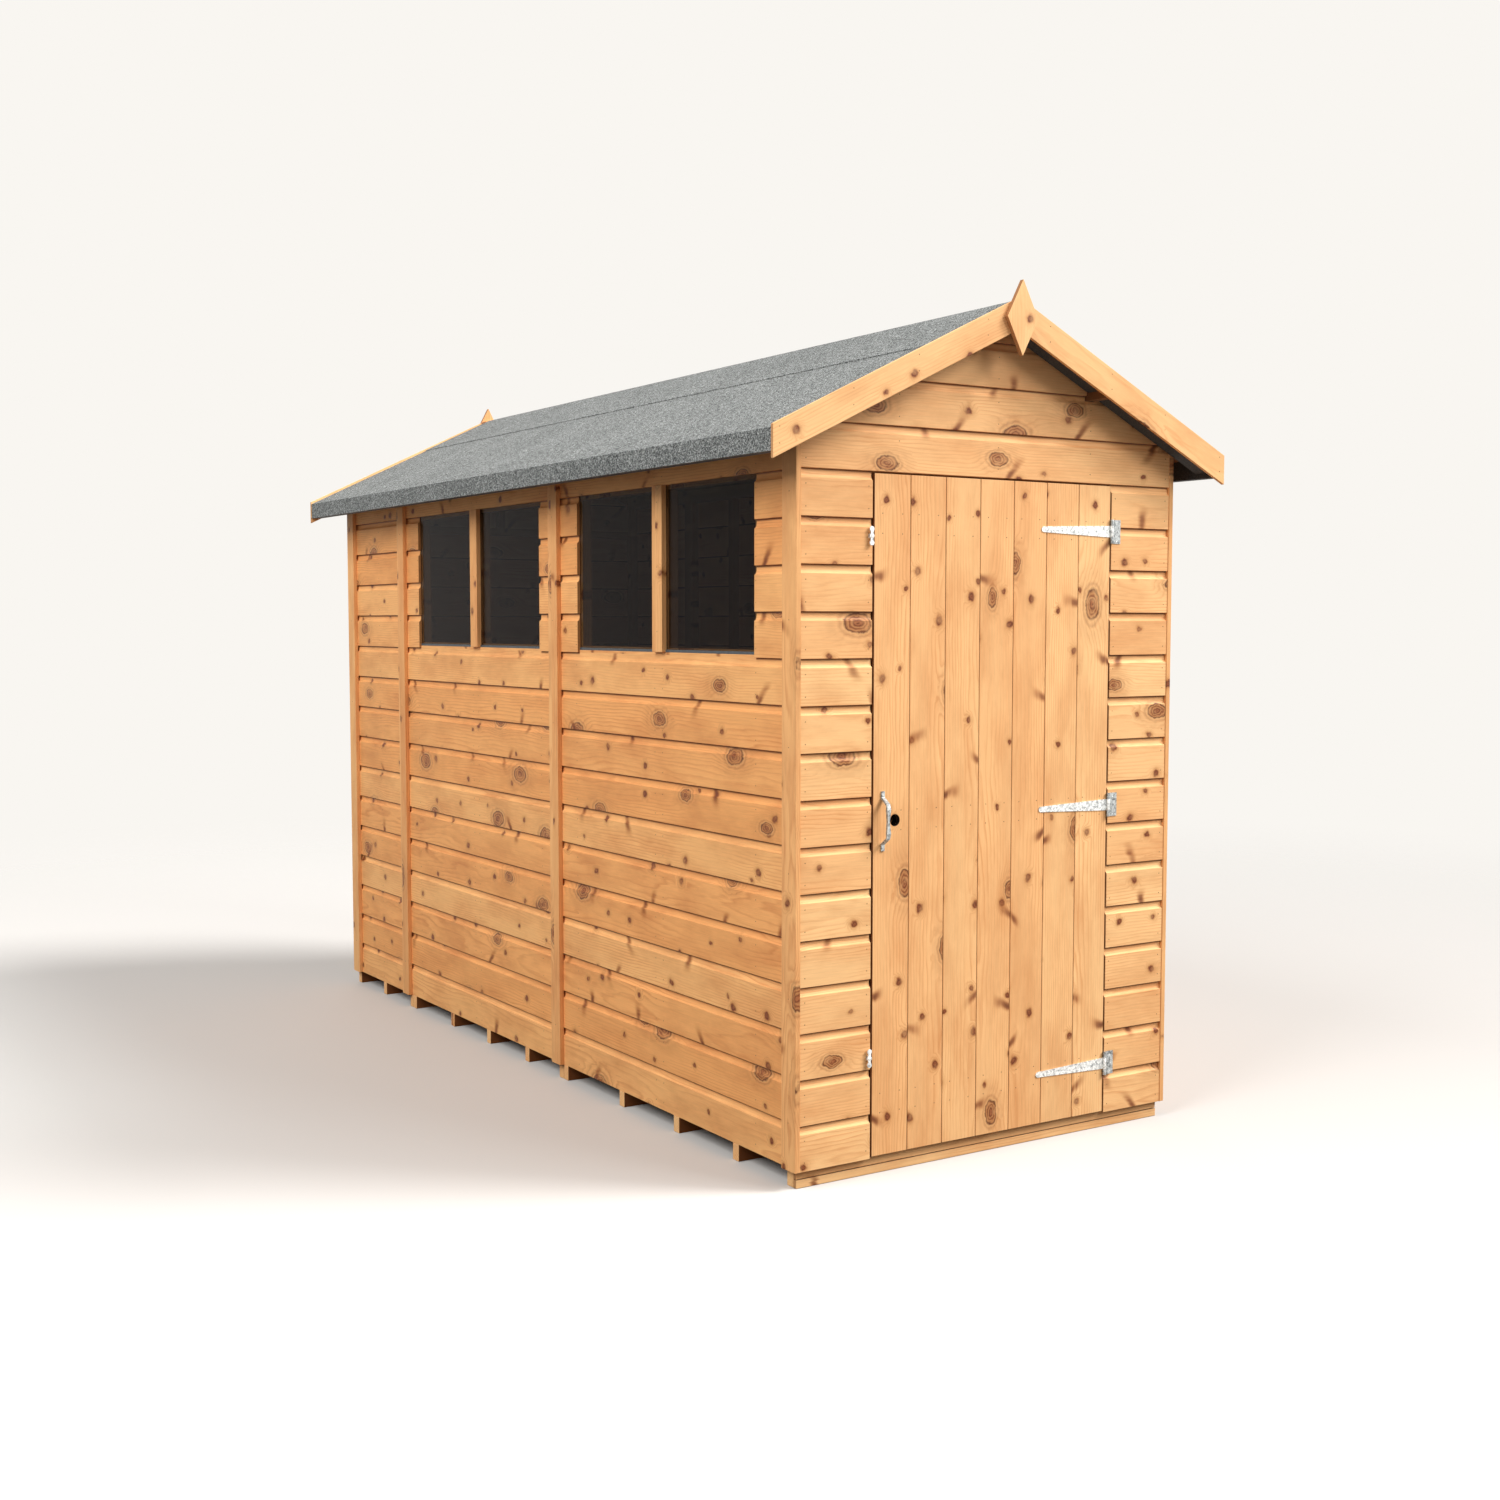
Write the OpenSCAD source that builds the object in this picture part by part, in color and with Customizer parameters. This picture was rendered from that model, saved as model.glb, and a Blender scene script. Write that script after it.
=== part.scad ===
// Wooden garden shed with an apex roof, a single ledged door in the front gable
// and two pairs of fixed windows in the left wall.
// X runs right along the front, Y runs to the back, Z is up.
// The origin is on the ground under the middle of the shed.

/* [Building] */
// Width over the cover strips on the side walls
shed_w = 1220; // [1150:1:1500]
// Length of the front wall panel on each side
front_panel_l = 1232; // [1120:1:1400]
// Length of the middle wall panel on each side
middle_panel_l = 1188; // [1120:1:1400]
// Length of the rear wall panel on each side
rear_panel_l = 480; // [400:1:1400]
// Height of the side walls at their outer face, from the bearers to the roof boards
wall_h = 1794; // [1760:1:2200]
// Slope of each side of the roof in degrees
roof_pitch = 25.7; // [20:0.1:32]

/* [Base] */
// Width of each floor bearer
bearer_w = 28; // [20:1:40]
// Height of each floor bearer
bearer_h = 43; // [32:1:70]
// Thickness of the floor boards
floor_t = 12; // [9:1:20]
// Distance from the face of the corner strips back to the front and back of the base
base_setback = 16; // [14:1:40]
// Distance of the first floor joint in front of the first wall joint
front_joint_lead = 25; // [0:1:60]
// Distance of the second floor joint in front of the second wall joint
rear_joint_lead = 37; // [0:1:60]
// Thickness of the two facing boards on the front of the base
facing_t = 10; // [6:1:14]
// Height of the lower facing board
facing_low_h = 21; // [14:1:26]
// Open joint between the two facing boards
facing_joint = 1.5; // [0.5:0.5:4]
// Distance of the upper facing board behind the face of the lower one
facing_step = 1; // [0:0.5:4]

/* [Cladding] */
// Height that each cladding board covers
board_cover = 111.4; // [100:0.1:116]
// Thickness of the cladding boards
clad_t = 12; // [10:0.5:18]
// Depth of the scoop along the top of each board
scoop_d = 6.5; // [3:0.5:8]
// Height of the scoop
scoop_h = 11; // [6:0.5:20]
// Height of the flat that shows between the scoop and the board above
tongue_h = 10.4; // [4:0.1:16]
// Rows of boards from the floor to the door head
door_rows = 15; // [14:1:15]
// Rows of boards beside the windows
window_rows = 4; // [3:1:6]

/* [Wall frames] */
// Width of the frame timbers
stud_w = 28; // [24:1:40]
// Depth of the frame timbers
stud_d = 28; // [24:1:50]

/* [Cover strips] */
// Thickness of the strips
strip_t = 14; // [8:1:20]
// Width of the strips at the corners
corner_strip_w = 60; // [44:1:80]
// Width of the strips over the panel joints
joint_strip_w = 56; // [30:1:80]
// Distance that the corner strips stand in front of the gable boards
strip_proud = 2; // [0:0.5:6]

/* [Windows] */
// Distance from the windows back to the wall joint behind them
window_rear = 133; // [60:1:200]
// Least distance from the windows forward to the end of their panel
window_front = 117; // [60:1:200]
// Thickness of each window pane
pane_t = 3; // [2:0.5:6]
// Width of the upright cover strip between two panes
mullion_w = 52; // [40:1:80]
// Thickness of the upright cover strip between two panes
mullion_t = 13; // [8:0.5:18]
// Width of the post behind that strip
mullion_post_w = 70; // [60:1:100]
// Width of pane that rests on the frame at its outer side
pane_seat = 12; // [6:1:20]
// Height of the window sill above the board line below it
sill_rise = 7; // [2:0.5:15]

/* [Door] */
// Width of the door
door_w = 766; // [600:1:780]
// Thickness of the door boards
door_t = 12; // [9:1:18]
// Number of door boards
door_boards_n = 7; // [4:1:9]
// Width of the groove between two door boards
groove_w = 3; // [1:0.5:6]
// Depth of that groove
groove_d = 2.5; // [1:0.5:4]
// Clear gap around the door
door_gap = 5; // [5:0.5:8]
// Width of frame that the closed door covers at its sides and head
door_lap = 18; // [10:1:22]
// Clear gap between the back of the door and the rebate in its posts
door_clear = 5; // [5:0.5:8]
// Width of the ledges on the back of the door
ledge_w = 70; // [50:1:100]
// Width of the braces, measured level
brace_w = 52; // [40:1:80]
// Thickness of the ledges and braces
ledge_t = 18; // [12:1:22]
// Clear gap between the ledges and the door posts
ledge_clear = 10; // [6:1:30]
// Height of the bottom hinge above the bearers
hinge_low = 135; // [100:1:250]
// Height of the middle hinge above the bearers
hinge_mid = 830; // [600:1:1000]
// Height of the top hinge above the bearers
hinge_high = 1548; // [1300:1:1590]

/* [Tee hinges] */
// Length of the strap from the pin to its tip
strap_l = 240; // [150:1:400]
// Width of the strap at the pin
strap_w = 31; // [20:1:40]
// Width of the strap at its rounded tip
strap_tip_w = 14; // [10:1:20]
// Thickness of the hinge steel
hinge_t = 2; // [1.5:0.1:3]
// Height of the fixed plate
plate_h = 62; // [50:1:80]
// Width of the fixed plate
plate_w = 28; // [20:1:40]
// Radius of the knuckle
knuckle_r = 4.5; // [4:0.1:6]
// Radius of the hinge pin
pin_r = 2.5; // [2:0.1:3]
// Clearance between pin and knuckle
pin_clear = 0.15; // [0.1:0.05:0.4]
// Gap between the knuckles of one hinge
knuckle_gap = 0.5; // [0.3:0.1:1.5]

/* [Pull handle] */
// Height of the handle over its two tabs
handle_h = 146; // [120:1:200]
// Width of the handle at its tabs and legs
handle_w = 10; // [6:0.5:16]
// Width of the grip at its two shoulders
shoulder_w = 12; // [8:0.5:18]
// Width of the grip at its waist
waist_w = 6; // [4:0.5:12]
// Distance from the door face to the front of the grip
handle_out = 28; // [24:1:45]
// Thickness of the tabs and legs
handle_t = 3.5; // [2.5:0.5:6]
// Thickness of the grip
grip_t = 6; // [4:0.5:8]
// Depth of the dip at the middle of the grip
grip_dip = 1.5; // [0:0.5:3]
// Height of the grip over its shoulders
grip_h = 86; // [70:1:120]
// Height of each sloping shoulder
shoulder_h = 14; // [6:1:20]
// Length of each fixing tab
handle_tab = 15; // [10:1:25]
// Distance from the edge of the door to the handle
handle_in = 28; // [20:1:60]
// Distance from the edge of the door to the lock hole
lock_in = 66; // [60:1:100]
// Radius of the lock hole
lock_r = 14.5; // [8:0.5:20]

/* [Turn buttons] */
// Length of each turn button
button_l = 46; // [36:1:56]
// Width of the rounded ends
button_w = 13; // [10:0.5:16]
// Width of the waist
button_waist = 8; // [6:0.5:10]
// Thickness of the button
button_t = 2.5; // [2:0.5:4]
// Gap between the button and its spacer, and between it and the screw head
button_play = 0.3; // [0.2:0.1:0.8]
// Height of the screw head
screw_head_h = 2; // [1:0.5:3]
// Radius of the screw head
screw_head_r = 4.5; // [4:0.1:6]
// Radius of the screw that it turns on
screw_r = 2.5; // [2:0.1:3]
// Clearance between button and screw
screw_clear = 0.2; // [0.1:0.05:0.4]
// Distance from the edge of the door to the screw
button_out = 12; // [11.5:0.5:30]
// Clear gap between a turned button and the door face
button_clear = 5; // [3:0.5:8]
// Height of the lower button above the bearers
button_low = 252; // [200:1:300]
// Height of the upper button above the bearers
button_high = 1517; // [1400:1:1600]

/* [Roof] */
// Thickness of the roof boards
roof_t = 12; // [9:1:18]
// Gap between the roof boards and the timbers under them, and between the two layers of felt
roof_seat = 0.1; // [0.1:0.1:0.4]
// Thickness of the roofing felt
felt_t = 2.5; // [2:0.5:5]
// Roof boards beyond the side walls
eaves_over = 123; // [80:1:200]
// Roof boards beyond the gable walls
gable_over = 67; // [45:1:150]
// Width of the purlins and eaves battens
purlin_w = 28; // [20:1:45]
// Height of the purlins
purlin_h = 50; // [35:1:70]
// Clearance around a purlin where it passes through a gable
purlin_clear = 1; // [0.5:0.5:3]
// Distance from the middle of the roof to each side purlin
purlin_x = 310; // [280:1:400]
// Height of the felt turned down at the eaves
felt_drop = 54; // [35:1:90]
// Half width of the ridge felt, measured level
ridge_felt = 268; // [150:1:400]

/* [Bargeboards] */
// Thickness of the bargeboards
barge_t = 9; // [6:1:22]
// Depth of the bargeboards, square to the slope
barge_d = 70; // [50:1:110]
// Height of their top edge over the felt
barge_rise = 5; // [0:0.5:15]
// Distance that their ends pass the felt at the eaves
barge_past = 1.5; // [0:0.5:6]
// Gap between the two boards where they meet
barge_joint = 0.4; // [0.3:0.1:2]
// Width of the diamond finials
finial_w = 98; // [60:1:140]
// Height of the diamond finials
finial_h = 185; // [120:1:260]
// Thickness of the diamond finials
finial_t = 12; // [8:1:20]
// Distance from the ridge down to the middle of the finials
finial_drop = 46; // [20:1:80]

/* [Hidden] */
// Gap between timbers that butt against each other
fit = 0.4;
// Steps of each curved scoop
scoop_steps = 4;
// Bottom of the boards and surface of the floor
clad_z = bearer_h;
floor_z = clad_z + floor_t;
// Outer face of the side boards, and the inner faces of the boards and of the frames
side_x = shed_w / 2 - strip_t;
side_in = side_x - clad_t;
room_x = side_in - stud_d;
// The same faces of the gable walls
room_y = (front_panel_l + middle_panel_l + rear_panel_l) / 2;
gable_in = room_y + stud_d;
gable_y = gable_in + clad_t;
strip_y = gable_y + strip_proud;
// Front and back ends of the side panels
panel_y = [-room_y, -room_y + front_panel_l, room_y - rear_panel_l, room_y];
// Board lines at the head of the door and under the windows
head_z = clad_z + door_rows * board_cover;
sill_line = head_z - window_rows * board_cover;
sill_z = sill_line + sill_rise;
// Width of a pane, half width of a pair of windows and the middles of the two pairs
pane_w = (min(front_panel_l, middle_panel_l) - window_front - window_rear - mullion_w) / 2;
window_half = pane_w + mullion_w / 2;
window_y = [panel_y[1] - window_rear - window_half, panel_y[2] - window_rear - window_half];
// Half width of the doorway in the boards and between the posts
doorway_half = door_w / 2 + door_gap;
post_half = door_w / 2 - door_lap;
// Faces of the door, flush with the gable boards, and of the rebate behind it
door_face = -gable_y;
door_back = door_face + door_t;
rebate_y = door_back + door_clear;
door_bottom = clad_z + door_gap;
door_top = head_z - door_gap;
head_rail_z = door_top - door_lap;
hinge_z = [clad_z + hinge_low, clad_z + hinge_mid, clad_z + hinge_high];
ledge_half = post_half - ledge_clear;
// Hinge line beside the door
hinge_x = door_w / 2 + door_gap / 2;
hinge_y = door_face - knuckle_r - knuckle_gap;
lock_x = -door_w / 2 + lock_in;
handle_x = -door_w / 2 + handle_in;
button_x = -door_w / 2 - button_out;
button_z = [clad_z + button_low, clad_z + button_high];
button_under = door_face - button_clear;
// Half size of the base, and the joints of the floor
base_x = side_x;
base_y = strip_y - base_setback;
floor_y = [-base_y, panel_y[1] - front_joint_lead, panel_y[2] - rear_joint_lead, base_y];
// Places of the bearers along a floor section, as shares of its length
long_section = [0, 0.207, 0.456, 0.71, 1];
short_section = [0, 0.5, 1];
// Roof levels
wall_top = clad_z + wall_h;
slope = tan(roof_pitch);
seat_rise = roof_seat / cos(roof_pitch);
roof_rise = seat_rise + roof_t / cos(roof_pitch);
felt_rise = felt_t / cos(roof_pitch);
rafter_h = stud_w / cos(roof_pitch);
strip_top = roof_level(side_x + strip_t);
eaves_x = side_x + eaves_over;
roof_y = gable_y + gable_over;
lap_rise = roof_rise + felt_rise + seat_rise;
ridge_z = roof_level(0, lap_rise + felt_rise);
barge_h = barge_d / cos(roof_pitch);
barge_top = ridge_z + barge_rise;
barge_end = eaves_x + felt_t + barge_past;
eaves_bottom = roof_level(eaves_x, roof_rise + felt_rise) - felt_drop;

// Height of a surface of the roof over the side walls' outer line, at distance x from the middle
function roof_level(x, rise = 0) = wall_top + (side_x - abs(x)) * slope + rise;

// An outline in X and Z, run along Y from y0 to y1
module along_y(y0, y1, outline) {
    translate([0, y1, 0])
        rotate([90, 0, 0])
            linear_extrude(y1 - y0)
                polygon(outline);
}

// An outline in Y and Z, run along X from x0 to x1
module along_x(x0, x1, outline) {
    translate([x0, 0, 0])
        rotate([90, 0, 90])
            linear_extrude(x1 - x0)
                polygon(outline);
}

// A box between two corners
module box(low, high) {
    translate(low)
        cube(high - low);
}

// The same shape on the left and on the right
module both_sides() {
    children();
    mirror([1, 0, 0])
        children();
}

// The same shape at the front and at the back
module both_ends() {
    children();
    mirror([0, 1, 0])
        children();
}

// One shiplap board as depth behind its face and height, from its lip at height z up to the foot of
// its tongue. The face ends in a concave scoop that a quarter of an ellipse draws.
function shiplap_board(z) = concat(
    [[0, z]],
    [for (i = [0 : scoop_steps]) let (turn = 90 * i / scoop_steps)
        [scoop_d * sin(turn), z + board_cover - tongue_h - scoop_h * cos(turn)]]
);

// Outline of boards that lap over each other from height z up to height top: each tongue passes
// behind the square lip of the next board
function shiplap(z, top) =
    let (rows = ceil((top - z) / board_cover - 0.01))
    concat(
        shiplap_board(z),
        [for (row = [1 : 1 : rows - 1]) each concat(
            [[scoop_d, z + row * board_cover]],
            shiplap_board(z + row * board_cover)
        )],
        [[scoop_d, max(top, z + rows * board_cover - fit)], [clad_t, max(top, z + rows * board_cover - fit)]],
        [[clad_t, z]]
    );

module floor_bearers() {
    color("#B9834A") {
        bearer_row(floor_y[0] + facing_t, floor_y[1], long_section);
        bearer_row(floor_y[1], floor_y[2], long_section);
        bearer_row(floor_y[2], floor_y[3], short_section);
    }
}

// The bearers of one floor section, from y0 to y1
module bearer_row(y0, y1, shares) {
    run = y1 - y0 - bearer_w - 2 * fit;
    for (share = shares)
        translate([-base_x, y0 + fit + share * run, 0])
            cube([2 * base_x, bearer_w, bearer_h]);
}

// Two boards, one over the other, on the face of the first bearer
module base_facing() {
    back = -base_y + facing_t;
    color("#DDA566") {
        box([-base_x, -base_y, 0], [base_x, back, facing_low_h]);
        box([-base_x, -base_y + facing_step, facing_low_h + facing_joint], [base_x, back, bearer_h]);
    }
}

// One section of the floor boards, from y0 to y1, on the bearers and between the side boards
module floor_section(y0, y1) {
    color("#C99A5E")
        box([-side_in + fit, y0 + fit, bearer_h], [side_in - fit, y1 - fit, floor_z]);
}

module floor_front() { floor_section(max(floor_y[0], rebate_y), floor_y[1]); }

module floor_middle() { floor_section(floor_y[1], floor_y[2]); }

module floor_rear() { floor_section(floor_y[2], floor_y[3]); }

// Boards of the front gable from x0 to x1, between heights z and top
module gable_boards(x0, x1, z, top) {
    along_x(x0, x1, [for (p = shiplap(z, top)) [p[0] - gable_y, p[1]]]);
}

module front_boards_left() {
    color("#EFB877")
        gable_boards(-side_x, -doorway_half, clad_z, head_z - fit);
}

module front_boards_right() {
    color("#EFB877")
        gable_boards(doorway_half, side_x, clad_z, head_z - fit);
}

// Outline of a gable from height z0 up to the roof boards
function gable_outline(z0) = [
    [-side_x, z0], [side_x, z0], [side_x, roof_level(side_x)],
    [0, roof_level(0)], [-side_x, roof_level(side_x)]
];

// The holes that let the purlins through a gable
module purlin_holes(y0, y1) {
    for (x = [-purlin_x, 0, purlin_x])
        box([x - purlin_w / 2 - purlin_clear, y0, roof_level(x) - purlin_h - purlin_clear],
            [x + purlin_w / 2 + purlin_clear, y1, ridge_z]);
}

// Boards over the whole width of the front gable from height z up to the roof boards
module gable_wall(z) {
    difference() {
        intersection() {
            gable_boards(-side_x, side_x, z, ridge_z);
            along_y(-gable_y - 1, -gable_in + 1, gable_outline(z));
        }
        purlin_holes(-gable_y - 1, -gable_in + 1);
    }
}

module front_boards_gable() {
    color("#E9AE6C")
        gable_wall(head_z);
}

module back_boards() {
    color("#EFB877")
        mirror([0, 1, 0])
            gable_wall(clad_z);
}

// The space in front of the rebates that the posts and the head rail have for the door
module door_rebate() {
    box([-doorway_half, -gable_y - 1, floor_z - 1], [doorway_half, rebate_y, head_z]);
}

// The frame between a corner post and a door post
module front_frame_side() {
    inner = post_half;
    outer = side_x - fit;
    top = head_rail_z - fit;
    mid = (floor_z + head_rail_z) / 2;
    difference() {
        box([inner, -gable_in, floor_z], [inner + stud_w, -room_y, top]);
        door_rebate();
    }
    box([outer - stud_w, -gable_in, floor_z], [outer, -room_y, top]);
    for (z = [floor_z, mid, top - stud_w])
        box([inner + stud_w + fit, -gable_in, z], [outer - stud_w - fit, -room_y, z + stud_w]);
}

module front_frame_left() {
    color("#D9A25F")
        mirror([1, 0, 0])
            front_frame_side();
}

module front_frame_right() {
    color("#D9A25F")
        front_frame_side();
}

// Posts of a gable, from height z up to the purlins
module gable_posts(z) {
    for (x = [-purlin_x, 0, purlin_x])
        box([x - stud_w / 2, -gable_in, z],
            [x + stud_w / 2, -room_y, roof_level(x) - purlin_h - purlin_clear - fit]);
}

// The two sloping timbers of a gable frame
module rafters() {
    low_x = side_x - fit;
    both_sides()
        difference() {
            along_y(-gable_in, -room_y, [
                [fit, roof_level(fit) - rafter_h], [low_x, roof_level(low_x) - rafter_h],
                [low_x, roof_level(low_x)], [fit, roof_level(fit)]
            ]);
            purlin_holes(-gable_in - 1, -room_y + 1);
        }
}

module front_frame_gable() {
    color("#D9A25F") {
        difference() {
            box([-side_x + fit, -gable_in, head_rail_z], [side_x - fit, -room_y, head_rail_z + stud_w]);
            door_rebate();
        }
        gable_posts(head_rail_z + stud_w + fit);
        rafters();
    }
}

module back_frame() {
    outer = side_x - fit;
    color("#D9A25F")
        mirror([0, 1, 0]) {
            box([-outer, -gable_in, floor_z], [outer, -room_y, floor_z + stud_w]);
            box([-outer, -gable_in, head_rail_z], [outer, -room_y, head_rail_z + stud_w]);
            for (x = [-outer, -purlin_x - stud_w / 2, purlin_x - stud_w / 2, outer - stud_w])
                box([x, -gable_in, floor_z + stud_w + fit], [x + stud_w, -room_y, head_rail_z - fit]);
            gable_posts(head_rail_z + stud_w + fit);
            rafters();
        }
}

// Side boards from y0 to y1, between heights z and top
module side_boards(y0, y1, z, top) {
    along_y(y0, y1, [for (p = shiplap(z, top)) [side_x - p[0], p[1]]]);
}

// Side boards from height z up to the roof boards
module side_boards_to_roof(y0, y1, z) {
    intersection() {
        side_boards(y0, y1, z, wall_top + board_cover);
        along_y(y0 - 1, y1 + 1, [
            [side_in, z], [side_x, z], [side_x, roof_level(side_x)], [side_in, roof_level(side_in)]
        ]);
    }
}

// A side panel from y0 to y1 with two window openings around the middle. The tongue of the board
// under them is the sill.
module windowed_boards(y0, y1, middle) {
    front = middle - window_half;
    back = middle + window_half;
    side_boards(y0 + fit, y1 - fit, clad_z, sill_line - fit);
    along_y(front, back, [
        [side_in, sill_line - tongue_h], [side_x - scoop_d, sill_line - tongue_h],
        [side_x - scoop_d, sill_z], [side_in, sill_z]
    ]);
    side_boards(y0 + fit, front - fit, sill_line, head_z - fit);
    side_boards(back + fit, y1 - fit, sill_line, head_z - fit);
    side_boards_to_roof(y0 + fit, y1 - fit, head_z);
}

module left_boards_front() {
    color("#D99A5B")
        mirror([1, 0, 0])
            windowed_boards(panel_y[0], panel_y[1], window_y[0]);
}

module left_boards_middle() {
    color("#D99A5B")
        mirror([1, 0, 0])
            windowed_boards(panel_y[1], panel_y[2], window_y[1]);
}

module left_boards_rear() {
    color("#D99A5B")
        mirror([1, 0, 0])
            side_boards_to_roof(panel_y[2] + fit, panel_y[3] - fit, clad_z);
}

module right_boards_front() {
    color("#D99A5B")
        side_boards_to_roof(panel_y[0] + fit, panel_y[1] - fit, clad_z);
}

module right_boards_middle() {
    color("#D99A5B")
        side_boards_to_roof(panel_y[1] + fit, panel_y[2] - fit, clad_z);
}

module right_boards_rear() {
    color("#D99A5B")
        side_boards_to_roof(panel_y[2] + fit, panel_y[3] - fit, clad_z);
}

// The bottom and top plates of a side frame
module side_plates(y0, y1) {
    box([room_x, y0 + fit, floor_z], [side_in, y1 - fit, floor_z + stud_w]);
    along_y(y0 + fit, y1 - fit, [
        [room_x, wall_top - stud_w], [side_in, wall_top - stud_w],
        [side_in, roof_level(side_in)], [room_x, roof_level(room_x)]
    ]);
}

// A post of a side frame between the plates, w wide from y
module side_post(y, w = stud_w) {
    box([room_x, y, floor_z + stud_w + fit], [side_in, y + w, wall_top - stud_w - fit]);
}

// A rail of a side frame between two posts
module side_rail(y0, y1, z) {
    box([room_x, y0 + fit, z], [side_in, y1 - fit, z + stud_w]);
}

// A plain side frame with posts at its ends and at even distances between
module plain_frame(y0, y1, bays) {
    side_plates(y0, y1);
    step = (y1 - y0 - stud_w - 2 * fit) / bays;
    for (i = [0 : bays])
        side_post(y0 + fit + i * step);
}

// A side frame with posts beside and between two windows, and rails under and over them
module windowed_frame(y0, y1, middle) {
    near = window_half - pane_seat;
    side_plates(y0, y1);
    side_post(y0 + fit);
    side_post(y1 - fit - stud_w);
    side_post(middle - near - stud_w);
    side_post(middle + near);
    side_post(middle - mullion_post_w / 2, mullion_post_w);
    for (z = [sill_z - stud_w + pane_seat, head_z - pane_seat]) {
        side_rail(middle - near, middle - mullion_post_w / 2, z);
        side_rail(middle + mullion_post_w / 2, middle + near, z);
    }
}

module left_frame_front() {
    color("#D9A25F")
        mirror([1, 0, 0])
            windowed_frame(panel_y[0], panel_y[1], window_y[0]);
}

module left_frame_middle() {
    color("#D9A25F")
        mirror([1, 0, 0])
            windowed_frame(panel_y[1], panel_y[2], window_y[1]);
}

module left_frame_rear() {
    color("#D9A25F")
        mirror([1, 0, 0])
            plain_frame(panel_y[2], panel_y[3], 2);
}

module right_frame() {
    color("#D9A25F") {
        plain_frame(panel_y[0], panel_y[1], 4);
        plain_frame(panel_y[1], panel_y[2], 4);
        plain_frame(panel_y[2], panel_y[3], 2);
    }
}

module window_panes() {
    color([0.20, 0.18, 0.18, 0.6])
        for (y = window_y, shift = [-window_half, mullion_w / 2])
            box([-side_in - pane_t, y + shift + fit, sill_z + fit],
                [-side_in, y + shift + pane_w - fit, head_z - fit]);
}

// The strips between the panes, from the sill up
module window_mullions() {
    color("#EBAF6E")
        for (y = window_y)
            box([-side_in - pane_t - fit - mullion_t, y - mullion_w / 2, sill_z + fit],
                [-side_in, y + mullion_w / 2, head_z - fit]);
}

module corner_strips() {
    color("#EDB473")
        both_sides()
            both_ends()
                box([side_x, -strip_y, clad_z], [side_x + strip_t, -strip_y + corner_strip_w, strip_top]);
}

module joint_strips() {
    color("#EDB473")
        both_sides()
            for (y = [panel_y[1], panel_y[2]])
                box([side_x, y - joint_strip_w / 2, clad_z], [side_x + strip_t, y + joint_strip_w / 2, strip_top]);
}

// Roof boards of the right side
module roof_boards() {
    along_y(-roof_y, roof_y, [
        [fit, roof_level(fit, seat_rise)], [eaves_x, roof_level(eaves_x, seat_rise)],
        [eaves_x, roof_level(eaves_x, roof_rise)], [fit, roof_level(fit, roof_rise)]
    ]);
}

module roof_boards_left() {
    color("#B98A52")
        mirror([1, 0, 0])
            roof_boards();
}

module roof_boards_right() {
    color("#B98A52")
        roof_boards();
}

module roof_purlins() {
    color("#C8935A") {
        for (x = [-purlin_x, 0, purlin_x])
            intersection() {
                box([x - purlin_w / 2, -roof_y, roof_level(x) - purlin_h],
                    [x + purlin_w / 2, roof_y, ridge_z]);
                along_y(-roof_y, roof_y, [
                    [-eaves_x, 0], [eaves_x, 0], [eaves_x, roof_level(eaves_x)],
                    [0, roof_level(0)], [-eaves_x, roof_level(eaves_x)]
                ]);
            }
        both_sides()
            along_y(-roof_y, roof_y, [
                [eaves_x - purlin_w, eaves_bottom], [eaves_x, eaves_bottom],
                [eaves_x, roof_level(eaves_x)],
                [eaves_x - purlin_w, roof_level(eaves_x - purlin_w)]
            ]);
    }
}

// Felt on the right side of the roof, turned down at the eaves
module felt_side() {
    low = roof_rise;
    high = roof_rise + felt_rise;
    edge = eaves_x + felt_t;
    along_y(-roof_y, roof_y, [
        [fit, roof_level(fit, low)], [eaves_x, roof_level(eaves_x, low)], [eaves_x, eaves_bottom],
        [edge, eaves_bottom], [edge, roof_level(edge, high)], [fit, roof_level(fit, high)]
    ]);
}

module felt_left() {
    color("#8B918D")
        mirror([1, 0, 0])
            felt_side();
}

module felt_right() {
    color("#8B918D")
        felt_side();
}

module felt_ridge() {
    low = lap_rise;
    high = lap_rise + felt_rise;
    color("#8B918D")
        along_y(-roof_y, roof_y, [
            [-ridge_felt, roof_level(ridge_felt, low)], [0, roof_level(0, low)],
            [ridge_felt, roof_level(ridge_felt, low)], [ridge_felt, roof_level(ridge_felt, high)],
            [0, roof_level(0, high)], [-ridge_felt, roof_level(ridge_felt, high)]
        ]);
}

// The pair of bargeboards at the front
module barge_pair() {
    low_z = barge_top - barge_end * slope;
    inner_z = barge_top - barge_joint / 2 * slope;
    both_sides()
        along_y(-roof_y - barge_t, -roof_y, [
            [barge_joint / 2, inner_z - barge_h], [barge_end, low_z - barge_h],
            [barge_end, low_z], [barge_joint / 2, inner_z]
        ]);
}

module bargeboards_front() {
    color("#E3A765")
        barge_pair();
}

module bargeboards_back() {
    color("#E3A765")
        mirror([0, 1, 0])
            barge_pair();
}

module finials() {
    middle = ridge_z - finial_drop;
    face = -roof_y - barge_t;
    color("#EBB06E")
        both_ends()
            along_y(face - finial_t, face, [
                [-finial_w / 2, middle], [0, middle - finial_h / 2],
                [finial_w / 2, middle], [0, middle + finial_h / 2]
            ]);
}

module lock_hole(y0, y1) {
    translate([lock_x, y1, hinge_z[1]])
        rotate([90, 0, 0])
            cylinder(h = y1 - y0, r = lock_r, $fn = 48);
}

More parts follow.
